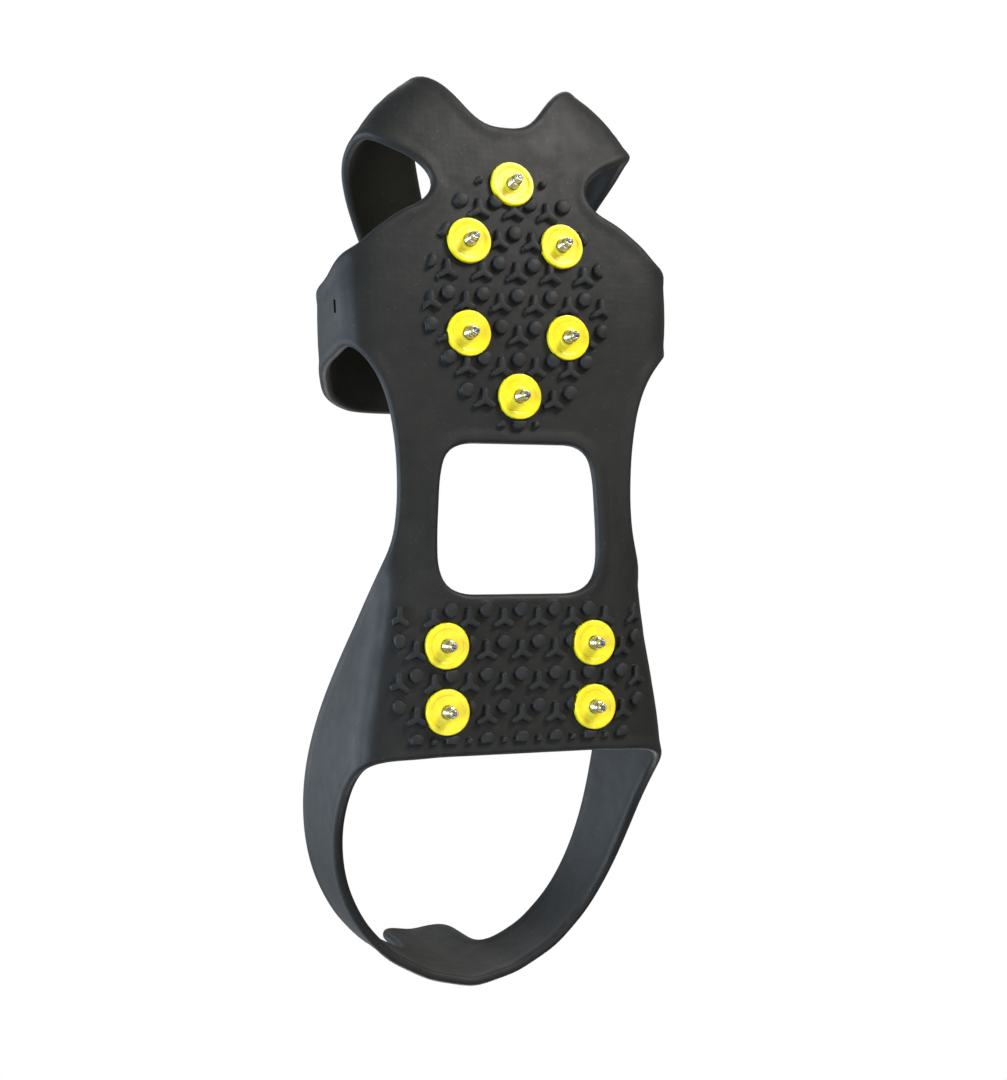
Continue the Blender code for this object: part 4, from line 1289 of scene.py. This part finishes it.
# --------------------------------------------------------------------- studs
# Profiles are (radius, height, corner radius). Height 0 is the envelope, and
# rises towards the foot.
OUT_FACE, TIP_END = -1.85, -WEB_Z
PLUG = [
    (0.0, SHEET + 0.7, 0), (3.1, SHEET + 0.7, 0), (3.1, SHEET - 1.0, 0), (2.05, SHEET - 1.0, 0),
    (2.05, OUT_FACE + 0.10, 0.15), (2.75, OUT_FACE + 0.14, 0.12), (3.1, OUT_FACE + 0.24, 0.15),
    (4.95, OUT_FACE + 0.21, 0.12), (5.2, OUT_FACE + 0.09, 0.12), (5.7, OUT_FACE + 0.02, 0.3),
    (6.85, OUT_FACE, 0.42), (6.88, -0.30, 0.16), (4.4, -0.28, 0.1),
    (4.4, SHEET + 0.3, 0.1), (8.25, SHEET + 0.32, 0.15), (8.25, SHEET + 1.4, 0.45),
    (1.1, SHEET + 1.4, 0.3), (0.0, SHEET + 1.25, 0),
]


def ring_groove(radius, height):
    return [(radius, height, 0.08), (radius - 0.13, height - 0.16, 0.06),
            (radius - 0.05, height - 0.34, 0.08)]


PIN = [
    (0.0, SHEET + 0.5, 0), (2.85, SHEET + 0.5, 0.1), (2.85, SHEET - 0.75, 0.1),
    (1.92, SHEET - 0.75, 0.0),
    # ring grooves round the collar
    *(corner for i in range(4) for corner in ring_groove(1.93 - 0.05 * i, -2.35 - 0.62 * i)),
    (1.74, -4.72, 0.12), (1.30, -4.98, 0.1), (1.20, -5.15, 0.0), (1.20, TIP_END + 0.62, 0.12),
    (1.02, TIP_END + 0.34, 0.08), (0.84, TIP_END + 0.36, 0.0), (0.84, TIP_END + 1.9, 0.0),
    (0.0, TIP_END + 1.9, 0),
]
TIP = [
    (0.0, TIP_END + 1.7, 0), (0.70, TIP_END + 1.7, 0), (0.70, TIP_END + 0.22, 0.06),
    (0.46, TIP_END + 0.02, 0.05), (0.0, TIP_END, 0),
]
STUD_TURN = 37  # degrees from one stud to the next, as each was pressed in at its own


def rounded(profile):
    """A profile with its corners rounded, as (radius, height)."""
    out = []
    for i, (radius, height, corner) in enumerate(profile):
        if corner <= 0 or i in (0, len(profile) - 1):
            out.append((radius, height))
            continue
        point = np.array([radius, height])
        before = np.array(profile[i - 1][:2]) - point
        after = np.array(profile[i + 1][:2]) - point
        size_before, size_after = np.linalg.norm(before), np.linalg.norm(after)
        cut = min(corner, 0.48 * size_before, 0.48 * size_after)
        start, end = point + before / size_before * cut, point + after / size_after * cut
        for t in (0.0, 0.25, 0.5, 0.75, 1.0):
            bend = (1 - t) ** 2 * start + 2 * t * (1 - t) * point + t * t * end
            out.append((float(bend[0]), float(bend[1])))
    return out


def turned(name, profile, sides, warp=None, sharp=40):
    """A profile turned about Z. warp(radius, height, turn) may facet it. It
    shades sharp over the given angle in degrees."""
    bm = bmesh.new()
    rings = []
    for radius, height in rounded(profile):
        if radius < 1e-9:
            rings.append([bm.verts.new((0, 0, height * MM))])
            continue
        ring = []
        for i in range(sides):
            turn = 2 * math.pi * (i + 0.5) / sides
            reach = warp(radius, height, turn) if warp else radius
            x, y = reach * MM * math.sin(turn), reach * MM * math.cos(turn)
            ring.append(bm.verts.new((x, y, height * MM)))
        rings.append(ring)
    for low, high in zip(rings, rings[1:]):
        for i in range(sides):
            j = (i + 1) % sides
            if len(low) == 1:
                bm.faces.new((low[0], high[i], high[j]))
            elif len(high) == 1:
                bm.faces.new((low[i], high[0], low[j]))
            else:
                bm.faces.new((low[i], high[i], high[j], low[j]))
    bmesh.ops.recalc_face_normals(bm, faces=bm.faces[:])
    mesh = bpy.data.meshes.new(name)
    bm.to_mesh(mesh)
    bm.free()
    mesh.shade_smooth()
    mesh.set_sharp_from_angle(angle=math.radians(sharp))
    return mesh


def faceted(count, depth, below):
    """Flats ground round the end of a turned shape."""
    def warp(radius, height, turn):
        if height > below:
            return radius
        off_middle = (turn % (2 * math.pi / count)) - math.pi / count
        flat = math.cos(math.pi / count) / math.cos(off_middle)
        return radius * (1 - depth + depth * flat)
    return warp


def build_studs():
    materials = yellow_plastic(), turned_steel(), hard_metal()
    pin_flats = faceted(count=6, depth=0.75, below=TIP_END + 0.50)
    tip_flats = faceted(count=6, depth=0.8, below=TIP_END + 0.30)
    parts = (  # kind, mesh, slot
        ("plug", turned("plug", PLUG, sides=72), "yellow_plastic"),
        ("pin", turned("pin", PIN, sides=48, warp=pin_flats), "stud_steel"),
        ("tip", turned("tip", TIP, sides=36, warp=tip_flats, sharp=28), "hard_tip"),
    )
    for (_, mesh, _), material in zip(parts, materials):
        mesh.materials.append(material)
    flat = web_chart([(abs(x), s) for x, s in STUDS])
    points, ways = place(flat), normals(flat)
    for i, (x, _) in enumerate(STUDS):
        side = (x > 0) - (x < 0)
        point = points[i] * [side, 1, 1]
        inwards = Vector(-ways[i] * [side, 1, 1])
        turn = Vector((0, 0, 1)).rotation_difference(inwards.normalized()).to_matrix().to_4x4()
        spin = Matrix.Rotation(math.radians(STUD_TURN * i), 4, "Z")
        base = Matrix.Translation(world(point[None])[0]) @ turn @ spin
        for kind, mesh, slot in parts:
            node = f"stud_{kind}_{i + 1:02d}"
            obj = add_object(f"fine_{node}", mesh)
            obj.matrix_world = base
            bpy.context.view_layer.update()
            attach(obj, "sole")
            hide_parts(node)


# --------------------------------------------------------------------- stage
# Disk lights: name, place, height of the aim on the Z axis, size, power, colour.
LIGHTS = [
    # below, for the tread: cool from the -X side, a firmer one from the toe
    ("low_left", (-0.95, 0.05, -0.22), 0.02, 0.55, 12.0, (0.70, 0.85, 1.0)),
    ("low_toe", (0.50, -0.72, -0.62), 0.02, 0.45, 10.5, (1.0, 0.975, 0.93)),
    ("low_fill", (0.1, 0.25, -1.1), 0.02, 0.9, 4.0, (1.0, 0.97, 0.93)),
    # above, for the straps. None lies near the camera's line past the object
    ("high_key", (0.45, -1.35, 1.05), 0.04, 1.0, 8.0, (1.0, 0.98, 0.95)),
    ("high_cool", (-1.1, 0.1, 0.8), 0.04, 1.1, 14.0, (0.80, 0.90, 1.0)),
    ("high_back", (0.2, 1.25, 0.8), 0.04, 0.8, 13.0, (1.0, 1.0, 1.0)),
]
FLOOR_R, FLOOR_SIDES, FLOOR_Z = 9.0, 96, -0.0002
CAMERA_YAW, CAMERA_PITCH, CAMERA_ROLL = (math.radians(v) for v in (23.35, 1.04, -0.48))
CAMERA_PIVOT, CAMERA_DISTANCE = (0, 0.00045, 0.0057), 0.5395
CAMERA_AIM = (0.0, 0.0, 0.02)
CAMERA_LENS = 60.0


def world_light():
    """White to the camera, and a dim light from cool to warm along X."""
    scene_world = bpy.data.worlds.new("studio")
    bpy.context.scene.world = scene_world
    scene_world.use_nodes = True
    tree = scene_world.node_tree
    tree.nodes.clear()
    out = tree.nodes.new("ShaderNodeOutputWorld")
    seen, lit = (tree.nodes.new("ShaderNodeBackground") for _ in range(2))
    seen.inputs["Color"].default_value = (1, 1, 1, 1)
    seen.inputs["Strength"].default_value = 1.0
    lit.inputs["Strength"].default_value = 0.22
    way = tree.nodes.new("ShaderNodeTexCoord")
    parts = tree.nodes.new("ShaderNodeSeparateXYZ")
    tree.links.new(way.outputs["Generated"], parts.inputs[0])
    ramp = tree.nodes.new("ShaderNodeMapRange")
    ramp.inputs["From Min"].default_value = -0.7
    ramp.inputs["From Max"].default_value = 0.6
    tree.links.new(parts.outputs["X"], ramp.inputs["Value"])
    tint = tree.nodes.new("ShaderNodeMix")
    tint.data_type = "RGBA"
    tint.inputs[6].default_value = (0.72, 0.86, 1.0, 1)  # cool on the -X side
    tint.inputs[7].default_value = (1.0, 0.96, 0.90, 1)
    tree.links.new(ramp.outputs[0], tint.inputs[0])
    tree.links.new(tint.outputs[2], lit.inputs["Color"])
    path = tree.nodes.new("ShaderNodeLightPath")
    mix = tree.nodes.new("ShaderNodeMixShader")
    tree.links.new(path.outputs["Is Camera Ray"], mix.inputs[0])
    tree.links.new(lit.outputs[0], mix.inputs[1])
    tree.links.new(seen.outputs[0], mix.inputs[2])
    tree.links.new(mix.outputs[0], out.inputs["Surface"])


def area_light(name, place_at, aim_z, size, power, colour):
    light = bpy.data.lights.new(name, "AREA")
    light.shape = "DISK"
    light.size = size
    light.energy = power
    light.color = colour
    obj = add_object(name, light)
    obj.location = place_at
    obj.rotation_mode = "QUATERNION"
    aim = Vector((0, 0, aim_z)) - Vector(place_at)
    obj.rotation_quaternion = aim.to_track_quat("-Z", "Y")


def floor_material():
    """Pale, clear from below, and white like the background far away."""
    mat = Nodes("floor_pale")
    spot = mat.node("ShaderNodeTexCoord").outputs["Object"]
    tone = mat.noise(spot, scale=3.0, detail=4.0)
    colour = mat.mix(
        mat.ramp(tone, span=(0.3, 0.7)),
        low=(0.68, 0.68, 0.68, 1), high=(0.71, 0.71, 0.707, 1),
    )
    mat.set(Base_Color=colour, Roughness=0.85, Specular_IOR_Level=0.1)
    glow = mat.node("ShaderNodeEmission")
    far = mat.node("ShaderNodeMixShader")
    length = mat.node("ShaderNodeVectorMath", operation="LENGTH")
    mat.link(spot, length.inputs[0])
    edge = mat.ramp(length.outputs["Value"], span=(0.22, 0.75))
    ceiling, softness = 1.0, 0.2
    edge = mat.math("SMOOTH_MIN", edge, ceiling, softness)
    clear = mat.node("ShaderNodeBsdfTransparent")
    mix = mat.node("ShaderNodeMixShader")
    back = mat.node("ShaderNodeNewGeometry").outputs["Backfacing"]
    for target, sources in (
        (far, (edge, mat.shader.outputs[0], glow.outputs[0])),
        (mix, (back, far.outputs[0], clear.outputs[0])),
    ):
        for source, socket in zip(sources, target.inputs):
            mat.link(source, socket)
    mat.link(mix.outputs[0], mat.tree.nodes["Material Output"].inputs["Surface"])
    return mat.material


def floor():
    """A pale floor under the studs. It is clear from below, so that the tread
    is seen through it, and it keeps no light from the tread."""
    material = floor_material()
    mesh = bpy.data.meshes.new("floor")
    angles = [2 * math.pi * i / FLOOR_SIDES for i in range(FLOOR_SIDES)]
    ring = [(FLOOR_R * math.cos(t), FLOOR_R * math.sin(t), FLOOR_Z) for t in angles]
    mesh.from_pydata(ring, [], [list(range(FLOOR_SIDES))])
    mesh.materials.append(material)
    obj = add_object("floor", mesh)
    obj.visible_shadow = False
    obj.visible_diffuse = False
    obj.visible_glossy = False
    obj.visible_transmission = False


def camera():
    """The underside, seen a little from its -X side."""
    cos_yaw, sin_yaw = math.cos(CAMERA_YAW), math.sin(CAMERA_YAW)
    cos_pitch, sin_pitch = math.cos(CAMERA_PITCH), math.sin(CAMERA_PITCH)
    back = Vector((-cos_pitch * sin_yaw, sin_pitch, -cos_pitch * cos_yaw))
    eye = Vector(CAMERA_PIVOT) + back * CAMERA_DISTANCE
    down = Vector((sin_pitch * sin_yaw, cos_pitch, sin_pitch * cos_yaw))
    cam = bpy.data.cameras.new("camera")
    cam.sensor_width = 36.0
    cam.lens = CAMERA_LENS
    cam.clip_start, cam.clip_end = 0.01, 50
    obj = add_object("camera", cam)
    z = (eye - Vector(CAMERA_AIM)).normalized()
    up = -down
    up = (up - z * up.dot(z)).normalized()
    right = up.cross(z).normalized()
    turn = Matrix((right, up, z)).transposed() @ Matrix.Rotation(CAMERA_ROLL, 3, "Z")
    obj.matrix_world = Matrix.Translation(eye) @ turn.to_4x4()
    bpy.context.scene.camera = obj


def net_objects():
    black = rubber()
    net = build_net()
    corner_ways = whole_normals(net)
    objects = []
    for i, name in enumerate(("net_forefoot", "net_heel", "net_pull_tab")):
        obj = net_piece(name, net, net.pieces == i, corner_ways)
        obj.data.materials.append(black)
        objects.append(obj)
    fore, heel, tab = objects
    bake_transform(fore)
    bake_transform(heel)
    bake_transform(tab)
    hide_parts("sole_web", "toe_strap")
    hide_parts("heel_strap")
    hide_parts("pull_tab")


def main():
    bpy.context.scene.view_settings.view_transform = "Standard"
    net_objects()
    build_studs()
    world_light()
    floor()
    for light in LIGHTS:
        area_light(*light)
    camera()


main()
